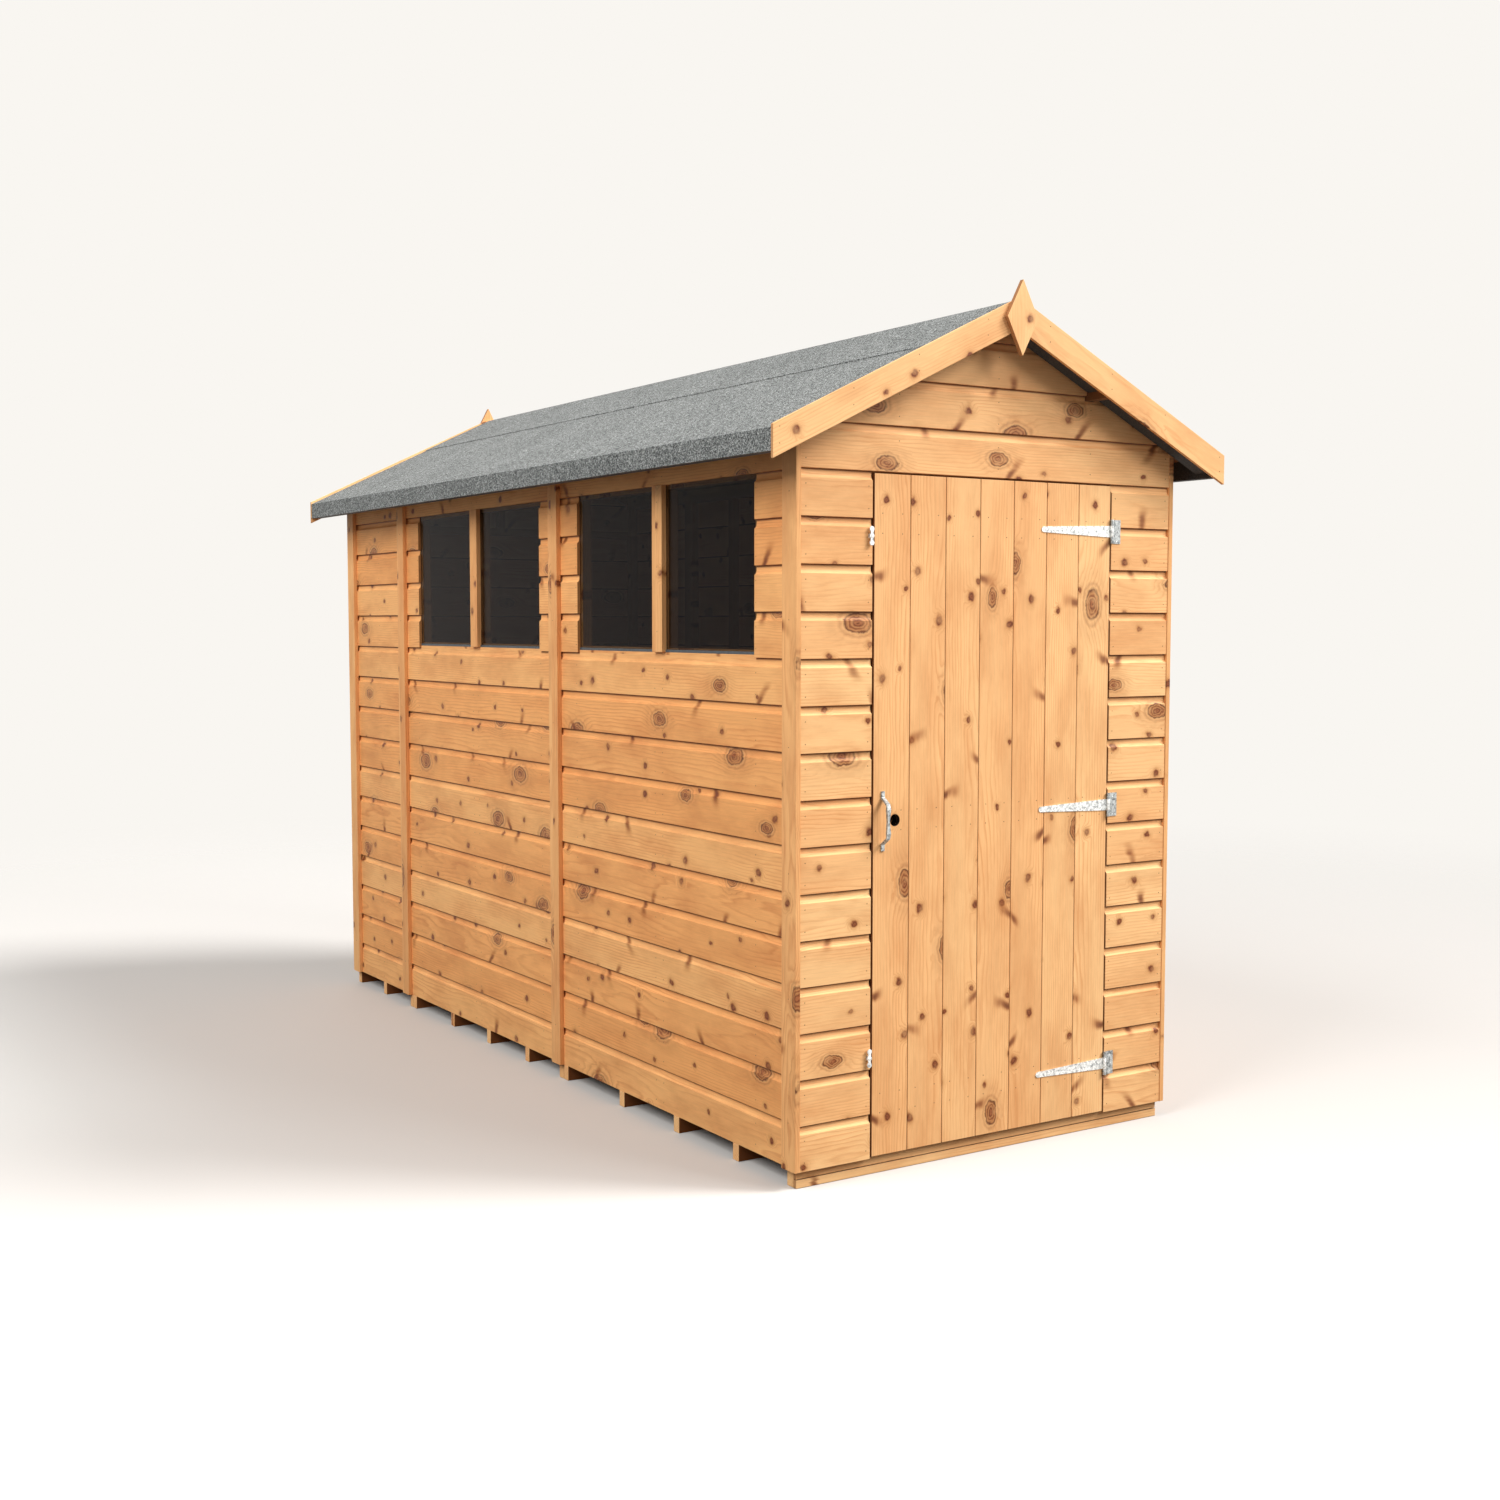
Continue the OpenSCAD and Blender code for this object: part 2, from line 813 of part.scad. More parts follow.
// Plan of the door boards, with a V groove in the face at each joint
function door_plan() =
    let (board = door_w / door_boards_n)
    concat(
        [[-door_w / 2, door_back], [-door_w / 2, door_face]],
        [for (i = [1 : door_boards_n - 1]) let (x = -door_w / 2 + i * board)
            each [[x - groove_w / 2, door_face], [x, door_face + groove_d], [x + groove_w / 2, door_face]]],
        [[door_w / 2, door_face], [door_w / 2, door_back]]
    );

module door_boards() {
    color("#F0BA79")
        difference() {
            translate([0, 0, door_bottom])
                linear_extrude(door_top - door_bottom)
                    polygon(door_plan());
            lock_hole(door_face - 1, door_back + 1);
        }
}

// A brace that runs up from the hinge side of one ledge to the other side of the next
module brace(z0, z1) {
    along_y(door_back, door_back + ledge_t, [
        [ledge_half - brace_w, z0], [ledge_half, z0],
        [-ledge_half + brace_w, z1], [-ledge_half, z1]
    ]);
}

module door_ledges() {
    color("#DDA566") {
        difference() {
            for (z = hinge_z)
                box([-ledge_half, door_back, z - ledge_w / 2],
                    [ledge_half, door_back + ledge_t, z + ledge_w / 2]);
            lock_hole(door_back - 1, door_back + ledge_t + 1);
        }
        for (i = [0, 1])
            brace(hinge_z[i] + ledge_w / 2 + fit, hinge_z[i + 1] - ledge_w / 2 - fit);
    }
}

// One strap with its knuckle, around the hinge line at height z
module strap(z) {
    knuckle_h = strap_w - 2 * knuckle_gap;
    tip = strap_tip_w / 2;
    translate([hinge_x, hinge_y, z]) {
        translate([0, door_face - hinge_y, 0])
            rotate([90, 0, 0])
                linear_extrude(hinge_t) {
                    polygon([
                        [-knuckle_r / 2, -knuckle_h / 2], [-knuckle_r / 2, knuckle_h / 2],
                        [tip - strap_l, tip], [tip - strap_l, -tip]
                    ]);
                    translate([tip - strap_l, 0])
                        circle(r = tip, $fn = 32);
                }
        difference() {
            translate([0, 0, -knuckle_h / 2])
                cylinder(h = knuckle_h, r = knuckle_r, $fn = 32);
            translate([0, 0, -knuckle_h])
                cylinder(h = 2 * knuckle_h, r = pin_r + pin_clear, $fn = 32);
        }
    }
}

module hinge_straps() {
    color("#C9CCCB")
        for (z = hinge_z)
            strap(z);
}

// One fixed plate with its two knuckles and the pin, at height z
module plate(z) {
    arm_h = (plate_h - strap_w) / 2;
    leaf_front = -gable_y - hinge_t - hinge_y;
    leaf_back = -gable_y - hinge_y;
    translate([hinge_x, hinge_y, z]) {
        box([knuckle_r + knuckle_gap, leaf_front, -plate_h / 2],
            [knuckle_r + knuckle_gap + plate_w, leaf_back, plate_h / 2]);
        for (low = [-plate_h / 2, strap_w / 2]) {
            translate([0, 0, low])
                cylinder(h = arm_h, r = knuckle_r, $fn = 32);
            box([0, 0, low], [knuckle_r + knuckle_gap + hinge_t, leaf_back, low + arm_h]);
        }
        translate([0, 0, -plate_h / 2])
            cylinder(h = plate_h, r = pin_r, $fn = 32);
    }
}

module hinge_plates() {
    color("#C9CCCB")
        for (z = hinge_z)
            plate(z);
}

// Upper half of the handle from the side, as distance from the door face and height over its middle
function handle_side(top, foot, inner) = [
    [0, top], [handle_t, top], [handle_t, foot],
    [handle_out - handle_t, grip_h / 2], [handle_out, grip_h / 2 - shoulder_h], [handle_out - grip_dip, 0],
    [inner - grip_dip, 0], [inner, grip_h / 2 - handle_t], [0, foot - handle_t]
];

// Upper half of the handle from the front, as half widths and heights
function handle_front(top, foot) = [
    [-handle_w / 2, top], [handle_w / 2, top], [handle_w / 2, foot],
    [shoulder_w / 2, grip_h / 2 - shoulder_h], [waist_w / 2, 0],
    [-waist_w / 2, 0], [-shoulder_w / 2, grip_h / 2 - shoulder_h], [-handle_w / 2, foot]
];

// The upper half of the handle: what its side and its front outline share
module handle_half() {
    top = handle_h / 2;
    foot = top - handle_tab;
    intersection() {
        along_x(-shoulder_w, shoulder_w,
            [for (p = handle_side(top, foot, handle_out - grip_t)) [-p[0], p[1]]]);
        along_y(-handle_out - 1, 1, handle_front(top, foot));
    }
}

module door_handle() {
    color("#C9CCCB")
        translate([handle_x, door_face, hinge_z[1]]) {
            handle_half();
            mirror([0, 0, 1])
                handle_half();
        }
}

// A turn button, upright, with its screw hole at height z
module turn_button(z) {
    lobe = button_w / 2;
    reach = button_l / 2 - lobe;
    translate([button_x, button_under, z])
        rotate([90, 0, 0])
            linear_extrude(button_t)
                difference() {
                    union() {
                        for (end = [-reach, reach])
                            translate([0, end])
                                circle(r = lobe, $fn = 32);
                        square([button_waist, 2 * reach], center = true);
                        circle(r = lobe, $fn = 32);
                    }
                    circle(r = screw_r + screw_clear, $fn = 32);
                }
}

module turn_button_top() {
    color("#D2D5D4")
        turn_button(button_z[1]);
}

module turn_button_bottom() {
    color("#D2D5D4")
        turn_button(button_z[0]);
}

// The screws that hold the turn buttons, each with the spacer under the button
module button_screws() {
    spacer_front = -button_under - button_play;
    head_back = -button_under + button_t + button_play;
    color("#BFC3C2")
        for (z = button_z)
            translate([button_x, 0, z])
                rotate([90, 0, 0]) {
                    translate([0, 0, gable_y])
                        cylinder(h = spacer_front - gable_y, r = button_w / 2, $fn = 32);
                    translate([0, 0, gable_y])
                        cylinder(h = head_back - gable_y, r = screw_r, $fn = 32);
                    translate([0, 0, head_back])
                        cylinder(h = screw_head_h, r1 = screw_head_r, r2 = screw_r, $fn = 32);
                }
}

floor_bearers();
base_facing();
floor_front();
floor_middle();
floor_rear();
front_boards_left();
front_boards_right();
front_boards_gable();
front_frame_left();
front_frame_right();
front_frame_gable();
back_boards();
back_frame();
left_boards_front();
left_boards_middle();
left_boards_rear();
left_frame_front();
left_frame_middle();
left_frame_rear();
right_boards_front();
right_boards_middle();
right_boards_rear();
right_frame();
window_panes();
window_mullions();
corner_strips();
joint_strips();
roof_boards_left();
roof_boards_right();
roof_purlins();
felt_left();
felt_right();
felt_ridge();
bargeboards_front();
bargeboards_back();
finials();
door_boards();
door_ledges();
hinge_straps();
door_handle();
hinge_plates();
turn_button_top();
turn_button_bottom();
button_screws();
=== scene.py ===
"""A wooden garden shed: shiplap walls on a boarded floor, a felted apex roof, two pairs of fixed
windows in the left wall and a ledged door in the front gable. Metres, +Z up, +Y to the back."""
import math
import bmesh
import bpy
from mathutils import Matrix, Vector


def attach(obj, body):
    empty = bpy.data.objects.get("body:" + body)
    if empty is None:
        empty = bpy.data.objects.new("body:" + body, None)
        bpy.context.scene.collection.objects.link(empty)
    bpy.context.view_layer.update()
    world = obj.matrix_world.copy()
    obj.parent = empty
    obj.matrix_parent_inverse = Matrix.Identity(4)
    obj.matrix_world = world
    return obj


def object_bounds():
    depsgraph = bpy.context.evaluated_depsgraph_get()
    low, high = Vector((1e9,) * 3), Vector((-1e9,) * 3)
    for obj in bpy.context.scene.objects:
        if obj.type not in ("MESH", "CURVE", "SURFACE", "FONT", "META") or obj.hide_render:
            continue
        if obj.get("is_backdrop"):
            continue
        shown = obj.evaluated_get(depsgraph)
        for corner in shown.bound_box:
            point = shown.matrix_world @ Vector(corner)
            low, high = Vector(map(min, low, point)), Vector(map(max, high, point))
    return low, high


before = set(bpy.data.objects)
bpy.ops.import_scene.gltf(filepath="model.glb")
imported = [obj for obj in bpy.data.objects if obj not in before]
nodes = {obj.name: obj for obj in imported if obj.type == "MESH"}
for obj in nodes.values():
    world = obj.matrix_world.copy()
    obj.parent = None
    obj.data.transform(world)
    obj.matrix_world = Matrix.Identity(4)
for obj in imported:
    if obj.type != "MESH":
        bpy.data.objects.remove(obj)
cad_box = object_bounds()


# Studio
# A pale seamless floor and backdrop. A soft sun to the right of the door is the main light, with a
# broad lamp over the left wall, a small one in front and a weak one behind. The camera stands to the
# left of the front corner at eye height.
def colour(code, alpha=1.0):
    """An sRGB hex colour as linear values."""
    channels = [int(code[i:i + 2], 16) / 255 for i in (1, 3, 5)]
    return [c / 12.92 if c < 0.04045 else ((c + 0.055) / 1.055) ** 2.4 for c in channels] + [alpha]


def connect(tree, node, inputs):
    """Link or set a node's inputs."""
    for key, value in inputs.items():
        if isinstance(value, bpy.types.NodeSocket):
            tree.links.new(value, node.inputs[key])
        else:
            node.inputs[key].default_value = value


def add(tree, kind, inputs=None, out=0, stops=None, **settings):
    """Add a shader node with its settings and links, and return one of its outputs, or the node.
    The stops of a colour ramp are given from the lowest to the highest."""
    node = tree.nodes.new("ShaderNode" + kind)
    for key, value in settings.items():
        setattr(node, key, value)
    connect(tree, node, inputs or {})
    if stops:
        ramp = node.color_ramp.elements
        for position, _ in stops[1:-1]:
            ramp.new(position)
        for stop, (position, shade) in zip(ramp, stops):
            stop.position, stop.color = position, shade
    return node if out is None else node.outputs[out]


def new_material(name):
    """A material, its nodes and the shader of its surface."""
    material = bpy.data.materials.new(name)
    material.use_nodes = True
    return material, material.node_tree, material.node_tree.nodes["Principled BSDF"]


def new_piece(name, mesh, material):
    """An object with a finished mesh and one material."""
    piece = bpy.data.objects.new(name, bpy.data.meshes.new(name))
    mesh.to_mesh(piece.data)
    mesh.free()
    scene.collection.objects.link(piece)
    piece.data.materials.append(material)
    return piece


def seen_itself(tree):
    """1 where the eye meets a surface, straight or in metal and glass, and 0 for light it returns."""
    path = add(tree, "LightPath", out=None).outputs
    seen = add(tree, "Math", {0: path["Is Camera Ray"], 1: path["Is Glossy Ray"]}, operation="MAXIMUM")
    return add(tree, "Math", {0: seen, 1: path["Is Transmission Ray"]}, operation="MAXIMUM")


scene = bpy.context.scene
scene.view_settings.view_transform = "Standard"

lens = bpy.data.cameras.new("camera")
lens.lens = 42.87
lens.clip_end = 60
looking_down, turned_right = 0.071041, 0.568421
camera = bpy.data.objects.new("camera", lens)
camera.location = (-2.9460, -4.950, 1.3528)
camera.rotation_euler = (math.pi / 2 - looking_down, 0, -turned_right)
scene.collection.objects.link(camera)
scene.camera = camera

world = bpy.data.worlds.new("studio")
world.use_nodes = True
scene.world = world
sky = world.node_tree
sky.nodes.clear()
fill = add(sky, "Background", {"Color": colour("#FFFBF7"), "Strength": 0.3})
backdrop = add(sky, "Background", {"Color": colour("#F9F6F1"), "Strength": 1.0})
air = add(sky, "MixShader", {0: seen_itself(sky), 1: fill, 2: backdrop})
add(sky, "OutputWorld", {0: air}, out=None)

# Name, kind, power, size and place. The sun's size is an angle in degrees, the others' a width
lamps = (("key", "SUN", 3.2, 20, (7.2, -4.6, 8.8)),
         ("left", "AREA", 800, 6.5, (-7.6, -1.8, 7.4)),
         ("front", "AREA", 300, 3.5, (3.5, -7.6, 5.6)),
         ("back", "AREA", 130, 5.0, (1.5, 8.8, 5.0)))
aim = Vector((0, 0, 1))
for name, kind, power, size, spot in lamps:
    lamp = bpy.data.lights.new(name, kind)
    lamp.energy = power
    lamp.color = colour("#FFFCF8")[:3]
    if kind == "SUN":
        lamp.angle = math.radians(size)
    else:
        lamp.size = size
    light = bpy.data.objects.new(name, lamp)
    light.location = spot
    light.rotation_euler = (Vector(spot) - aim).to_track_quat("Z", "Y").to_euler()
    scene.collection.objects.link(light)

# Matt white paper, which looks pale grey where the shed shades it. It thins out to the backdrop far
# from the shed, and to the left of its back half, so that the far end of the shadow is soft
paper, tree, _ = new_material("seamless white paper")
tree.nodes.clear()
place = add(tree, "TexCoord", out=3)
away = add(tree, "VectorMath", {0: place}, out=1, operation="LENGTH")
away = add(tree, "MapRange", {0: away, 1: 2.6, 2: 7.5}, interpolation_type="SMOOTHSTEP")
sides = add(tree, "SeparateXYZ", {0: place}, out=None).outputs
left = add(tree, "MapRange", {0: sides["X"], 1: -1.35, 2: -2.3, 4: 0.65},
           interpolation_type="SMOOTHSTEP")
back = add(tree, "MapRange", {0: sides["Y"], 1: -0.8, 2: 0.5}, interpolation_type="SMOOTHSTEP")
left_back = add(tree, "Math", {0: left, 1: back}, operation="MULTIPLY")
thin = add(tree, "Math", {0: left_back, 1: away}, operation="MAXIMUM")
bright = add(tree, "BsdfDiffuse", {"Color": colour("#D6D5D4")})
bounce = add(tree, "BsdfDiffuse", {"Color": colour("#403F3E")})
matt = add(tree, "MixShader", {0: seen_itself(tree), 1: bounce, 2: bright})
clear = add(tree, "BsdfTransparent")
sheet = add(tree, "MixShader", {0: thin, 1: matt, 2: clear})
add(tree, "OutputMaterial", {0: sheet}, out=None)

floor_radius, below_bearers = 14, 0.0005
mesh = bmesh.new()
bmesh.ops.create_circle(mesh, cap_ends=True, segments=96, radius=floor_radius,
                        matrix=Matrix.Translation((0, 0, -below_bearers)))
floor = new_piece("studio_floor", mesh, paper)
floor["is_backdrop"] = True


# Base and floor
# Sawn bearers of dip-treated spruce run across under each floor section, two facing boards close
# their front, and tongued floor boards are nailed over them. Sawn edges are barely eased.
def wear(piece, material):
    """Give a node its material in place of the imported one."""
    piece.data.materials.clear()
    piece.data.materials.append(material)


def soften(piece, width):
    """Ease the sharp edges, as planing and sanding do."""
    skin = piece.modifiers.new("one skin", "WELD")
    skin.merge_threshold = 0.00005
    edge = piece.modifiers.new("eased edges", "BEVEL")
    edge.width = width
    edge.segments = 2
    edge.limit_method = "ANGLE"
    edge.angle_limit = math.radians(32)


def timber(name, grain, across, face, boards, tones, apart=(), joints=(), rails=(), slope=0.0,
           seed=0.0, cut_ends_or_shade=None, sills=()):
    """Dip-treated softwood: flat-sawn growth rings, round knots, ringed knots and spike knots.

    The grain runs along one axis, and boards of one width (start, width) lie side by side across it.
    face: depth of the visible face on the third axis, from the middle of the shed.
    tones: the lightest board, the darkest board and the lines of the growth rings.
    apart: axes on whose two sides the boards are different ones.
    joints: widths of the dark crease at the low and the high edge of each board, painted shade
    with some dirt.
    rails: heights of a frame's level members, whose grain runs the other way.
    slope: pitch of boards that follow the roof.
    cut_ends_or_shade: axis, range and strength of darker sawn ends, or of painted shade.
    sills: places under the windows where no board laps over (middle, half width, height)."""
    material, tree, skin = new_material(name)
    place = add(tree, "TexCoord", out=3)
    axes = dict(zip("XYZ", add(tree, "SeparateXYZ", {0: place}, out=None).outputs))
    lines = axes
    if slope:
        # Both slopes are folded into one, and this is turned level
        beside = add(tree, "Math", {0: axes["X"]}, operation="ABSOLUTE")
        folded = add(tree, "CombineXYZ", {0: beside, 1: axes["Y"], 2: axes["Z"]})
        level = add(tree, "Mapping", {0: folded, 2: (0, -slope, 0)})
        lines = dict(zip("XYZ", add(tree, "SeparateXYZ", {0: level}, out=None).outputs))
    length, breadth = lines[grain], lines[across]
    if rails:
        half_member, flat = 0.0145, 0.0
        for height in rails:
            near = add(tree, "Math", {0: axes["Z"], 1: height, 2: half_member}, operation="COMPARE")
            flat = add(tree, "Math", {0: near, 1: flat}, operation="MAXIMUM")
        length, breadth = (add(tree, "Mix", {0: flat, 2: length, 3: breadth}, data_type="FLOAT"),
                           add(tree, "Mix", {0: flat, 2: breadth, 3: length}, data_type="FLOAT"))

    # Each board has a number, a place within it from its middle line, and its own throw of the dice
    start, width = boards
    cell = add(tree, "Math", {0: breadth, 1: 1 / width, 2: -start / width}, operation="MULTIPLY_ADD")
    row = add(tree, "Math", {0: cell}, operation="FLOOR")
    within = add(tree, "Math", {0: cell}, operation="FRACT")
    within = add(tree, "Math", {0: within, 1: width, 2: -width / 2}, operation="MULTIPLY_ADD")
    tag = {0: row, 1: seed, 2: seed}
    for i, side in enumerate(apart):
        tag[i + 1] = add(tree, "Math", {0: axes[side]}, operation="FLOOR")
    tag = add(tree, "CombineXYZ", tag)
    chance = add(tree, "TexWhiteNoise", {"Vector": tag}, out=1, noise_dimensions="3D")
    dice = add(tree, "SeparateColor", {0: chance}, out=None).outputs
    third = ({"X", "Y", "Z"} - {grain, across}).pop()
    depth = add(tree, "Math", {0: lines[third]}, operation="ABSOLUTE")
    depth = add(tree, "Math", {0: depth, 1: face}, operation="SUBTRACT")
    here = add(tree, "CombineXYZ", {0: length, 1: breadth, 2: depth})
    here = add(tree, "VectorMath", {0: chance, 1: (9.1, 5.3, 3.7), 2: here},
               operation="MULTIPLY_ADD")

    # Knots: distances to scattered centres, in knot radii. Small round ones are 11 to 19 mm across,
    # ringed ones 28 to 46 mm, and a part of the places is left bare
    rough = add(tree, "TexNoise", {"Vector": here, "Scale": 55.0, "Detail": 3.0}, out=1)
    rough = add(tree, "VectorMath", {0: rough, 1: (0.018, 0.014, 0), 2: here},
                operation="MULTIPLY_ADD")
    knots = []
    for per_metre, stretch, least, most, bare in ((6.4, (0.9, 1.1, 1), 0.036, 0.064, 0.22),
                                                  (3.9, (0.7, 1.2, 1), 0.06, 0.11, 0.45)):
        spot = add(tree, "VectorMath", {0: rough, 1: stretch}, operation="MULTIPLY")
        cells = add(tree, "TexVoronoi", {"Vector": spot, "Scale": per_metre}, out=None,
                    voronoi_dimensions="2D").outputs
        pick = add(tree, "SeparateColor", {0: cells["Color"]}, out=None).outputs
        radius = add(tree, "MapRange", {0: pick[0], 3: least, 4: most})
        knot = add(tree, "Math", {0: cells["Distance"], 1: radius}, operation="DIVIDE")
        none = add(tree, "Math", {0: pick[1], 1: bare}, operation="LESS_THAN")
        knots.append(add(tree, "Math", {0: none, 1: 9.0, 2: knot}, operation="MULTIPLY_ADD"))

    # Growth rings are about 3 mm apart in the tree and show 7 mm apart on a flat-sawn face. They go
    # round a pith behind the face and bend round the knots
    rings_per_metre = 142.0
    wander = add(tree, "VectorMath", {0: here, 1: (1.1, 4.0, 4.0)}, operation="MULTIPLY")
    wander = add(tree, "TexNoise", {"Vector": wander, "Scale": 1.0, "Detail": 2.0})
    aside = add(tree, "Math", {0: dice[0], 1: 0.26, 2: -0.13}, operation="MULTIPLY_ADD")
    aside = add(tree, "Math", {0: within, 1: aside}, operation="SUBTRACT")
    behind = add(tree, "Math", {0: dice[1], 1: 0.07, 2: 0.01}, operation="MULTIPLY_ADD")
    behind = add(tree, "Math", {0: wander, 1: 0.07, 2: behind}, operation="MULTIPLY_ADD")
    behind = add(tree, "Math", {0: behind, 1: depth}, operation="SUBTRACT")
    pith = add(tree, "CombineXYZ", {0: aside, 1: behind})
    pith = add(tree, "VectorMath", {0: pith}, out=1, operation="LENGTH")
    bend = add(tree, "Math", {0: knots[0], 1: knots[1]}, operation="MINIMUM")
    bend = add(tree, "MapRange", {0: bend, 1: 0.0, 2: 3.4, 3: 3.2, 4: 0.0},
               interpolation_type="SMOOTHSTEP")
    ripple = add(tree, "VectorMath", {0: here, 1: (7.0, 46.0, 46.0)}, operation="MULTIPLY")
    ripple = add(tree, "TexNoise", {"Vector": ripple, "Scale": 1.0, "Detail": 2.0})
    rings = add(tree, "Math", {0: pith, 1: rings_per_metre, 2: bend}, operation="MULTIPLY_ADD")
    rings = add(tree, "Math", {0: ripple, 1: 1.6, 2: rings}, operation="MULTIPLY_ADD")
    rings = add(tree, "Math", {0: rings}, operation="FRACT")
    late = add(tree, "ValToRGB", {0: rings},
               stops=[(0.0, (0, 0, 0, 1)), (0.5, (0.15, 0.15, 0.15, 1)), (0.82, (1, 1, 1, 1)),
                      (1.0, (0, 0, 0, 1))])

    # Fine fibres are under a millimetre wide, too fine for the picture, so they are drawn at 2 mm.
    # Broad streaks of lighter and darker wood are 8 cm wide
    fibre = add(tree, "VectorMath", {0: here, 1: (16.0, 420.0, 420.0)}, operation="MULTIPLY")
    fibre = add(tree, "TexNoise",
                {"Vector": fibre, "Scale": 1.0, "Detail": 3.0, "Roughness": 0.6})
    cloud = add(tree, "VectorMath", {0: here, 1: (2.2, 13.0, 13.0)}, operation="MULTIPLY")
    cloud = add(tree, "TexNoise", {"Vector": cloud, "Scale": 1.0, "Detail": 3.0})

    # The rings are bolder in the darker streaks. The dip soaks in unevenly and leaves redder patches
    # a hand wide
    light, dark, line = (colour(tone) for tone in tones)
    wood = add(tree, "Mix", {0: dice[2], 6: light, 7: dark}, out=2, data_type="RGBA")
    bold = add(tree, "MapRange", {0: cloud, 1: 0.38, 2: 0.64, 3: 0.06, 4: 0.5})
    strength = add(tree, "Math", {0: late, 1: bold}, operation="MULTIPLY")
    wood = add(tree, "Mix", {0: strength, 6: wood, 7: line}, out=2, data_type="RGBA")
    soak = add(tree, "VectorMath", {0: here, 1: (4.0, 11.0, 11.0), 2: (3.0, 7.0, 5.0)},
               operation="MULTIPLY_ADD")
    soak = add(tree, "TexNoise", {"Vector": soak, "Scale": 1.0, "Detail": 5.0, "Roughness": 0.6})
    soak = add(tree, "MapRange", {0: soak, 1: 0.42, 2: 0.7, 3: 0.0, 4: 0.45})
    wood = add(tree, "Mix", {0: soak, 6: wood, 7: line}, out=2, data_type="RGBA")
    shade = add(tree, "Math", {0: cloud, 1: 0.3, 2: 0.76}, operation="MULTIPLY_ADD")
    shade = add(tree, "Math", {0: fibre, 1: 0.28, 2: shade}, operation="MULTIPLY_ADD")
    wood = add(tree, "HueSaturation", {"Value": shade, "Color": wood})

    # Colour and cover of a round and of a ringed knot, from its heart to 3.2 radii out
    looks = (
        ((0.0, "#7A3A1C", 1), (0.1, "#8A4824", 0.95), (0.22, "#632C12", 1), (0.31, "#95522A", 0.9),
         (0.42, "#BE7E46", 0.55), (0.6, "#CC8E54", 0.25), (1.0, "#DCA66C", 0)),
        ((0.0, "#5C2810", 1), (0.05, "#A8643A", 0.95), (0.1, "#6E3216", 1), (0.16, "#B87A48", 0.85),
         (0.2, "#7E4020", 1), (0.25, "#BC7C48", 0.85), (0.31, "#57250E", 1), (0.37, "#E0A86E", 0.55),
         (0.44, "#9A5A30", 0.5), (0.53, "#D2945A", 0.2), (0.64, "#B0703E", 0.2),
         (1.0, "#D8985C", 0)))
    marks = 0.0
    patch = add(tree, "TexNoise", {"Vector": here, "Scale": 38.0, "Detail": 1.0})
    patch = add(tree, "MapRange", {0: patch, 1: 0.35, 2: 0.55, 3: 0.7, 4: 1.0})
    for knot, look in zip(knots, looks):
        reach = add(tree, "Math", {0: knot, 1: 1 / 3.2}, operation="MULTIPLY")
        ramp = add(tree, "ValToRGB", {0: reach}, out=None,
                   stops=[(at, colour(code, cover)) for at, code, cover in look]).outputs
        cover = add(tree, "Math", {0: ramp["Alpha"], 1: patch}, operation="MULTIPLY")
        wood = add(tree, "Mix", {0: cover, 6: wood, 7: ramp["Color"]}, out=2, data_type="RGBA")
        marks = add(tree, "Math", {0: cover, 1: marks}, operation="MAXIMUM")

    # Spike knots: knots sawn lengthwise at a board's edge, dark there and feathered inwards. There
    # is room for three in each metre of an edge, and three in ten of these places have one
    upper = add(tree, "Math", {0: within, 1: 0.0}, operation="GREATER_THAN")
    along = add(tree, "Math", {0: row, 1: 0.37}, operation="MULTIPLY")
    along = add(tree, "Math", {0: length, 1: 3.1, 2: along}, operation="MULTIPLY_ADD")
    along = add(tree, "Math", {0: upper, 1: 0.45, 2: along}, operation="MULTIPLY_ADD")
    edge = add(tree, "Math", {0: upper, 1: 1.0, 2: seed}, operation="MULTIPLY_ADD")
    number = add(tree, "Math", {0: along}, operation="FLOOR")
    spike = add(tree, "CombineXYZ", {0: number, 1: row, 2: edge})
    spike = add(tree, "TexWhiteNoise", {"Vector": spike}, out=1, noise_dimensions="3D")
    spike = add(tree, "SeparateColor", {0: spike}, out=None).outputs
    heart = add(tree, "MapRange", {0: spike[0], 3: 0.25, 4: 0.75})
    along = add(tree, "Math", {0: along}, operation="FRACT")
    along = add(tree, "Math", {0: along, 1: heart}, operation="SUBTRACT")
    inward = add(tree, "Math", {0: within}, operation="ABSOLUTE")
    inward = add(tree, "Math", {0: inward, 1: -1.0, 2: width / 2}, operation="MULTIPLY_ADD")
    lean = add(tree, "MapRange", {0: spike[1], 3: -2.8, 4: 2.8})
    ragged = add(tree, "Math", {0: ripple, 1: 0.05, 2: -0.025}, operation="MULTIPLY_ADD")
    along = add(tree, "Math", {0: along, 1: ragged}, operation="ADD")
    along = add(tree, "Math", {0: inward, 1: lean, 2: along}, operation="MULTIPLY_ADD")
    along = add(tree, "Math", {0: along}, operation="ABSOLUTE")
    half = add(tree, "Math", {0: inward, 1: 0.7, 2: 0.05}, operation="MULTIPLY_ADD")
    along = add(tree, "Math", {0: along, 1: half}, operation="DIVIDE")
    wing = add(tree, "MapRange", {0: along, 1: 0.05, 2: 1.0, 3: 1.0, 4: 0.0},
               interpolation_type="SMOOTHSTEP")
    tip = add(tree, "MapRange", {0: spike[0], 3: 0.03, 4: 0.08})
    reach = add(tree, "MapRange", {0: inward, 1: 0.006, 2: tip, 3: 1.0, 4: 0.0},
                interpolation_type="SMOOTHSTEP")
    wing = add(tree, "Math", {0: wing, 1: reach}, operation="MULTIPLY")
    there = add(tree, "Math", {0: spike[2], 1: 0.7}, operation="GREATER_THAN")
    wing = add(tree, "Math", {0: wing, 1: there}, operation="MULTIPLY")
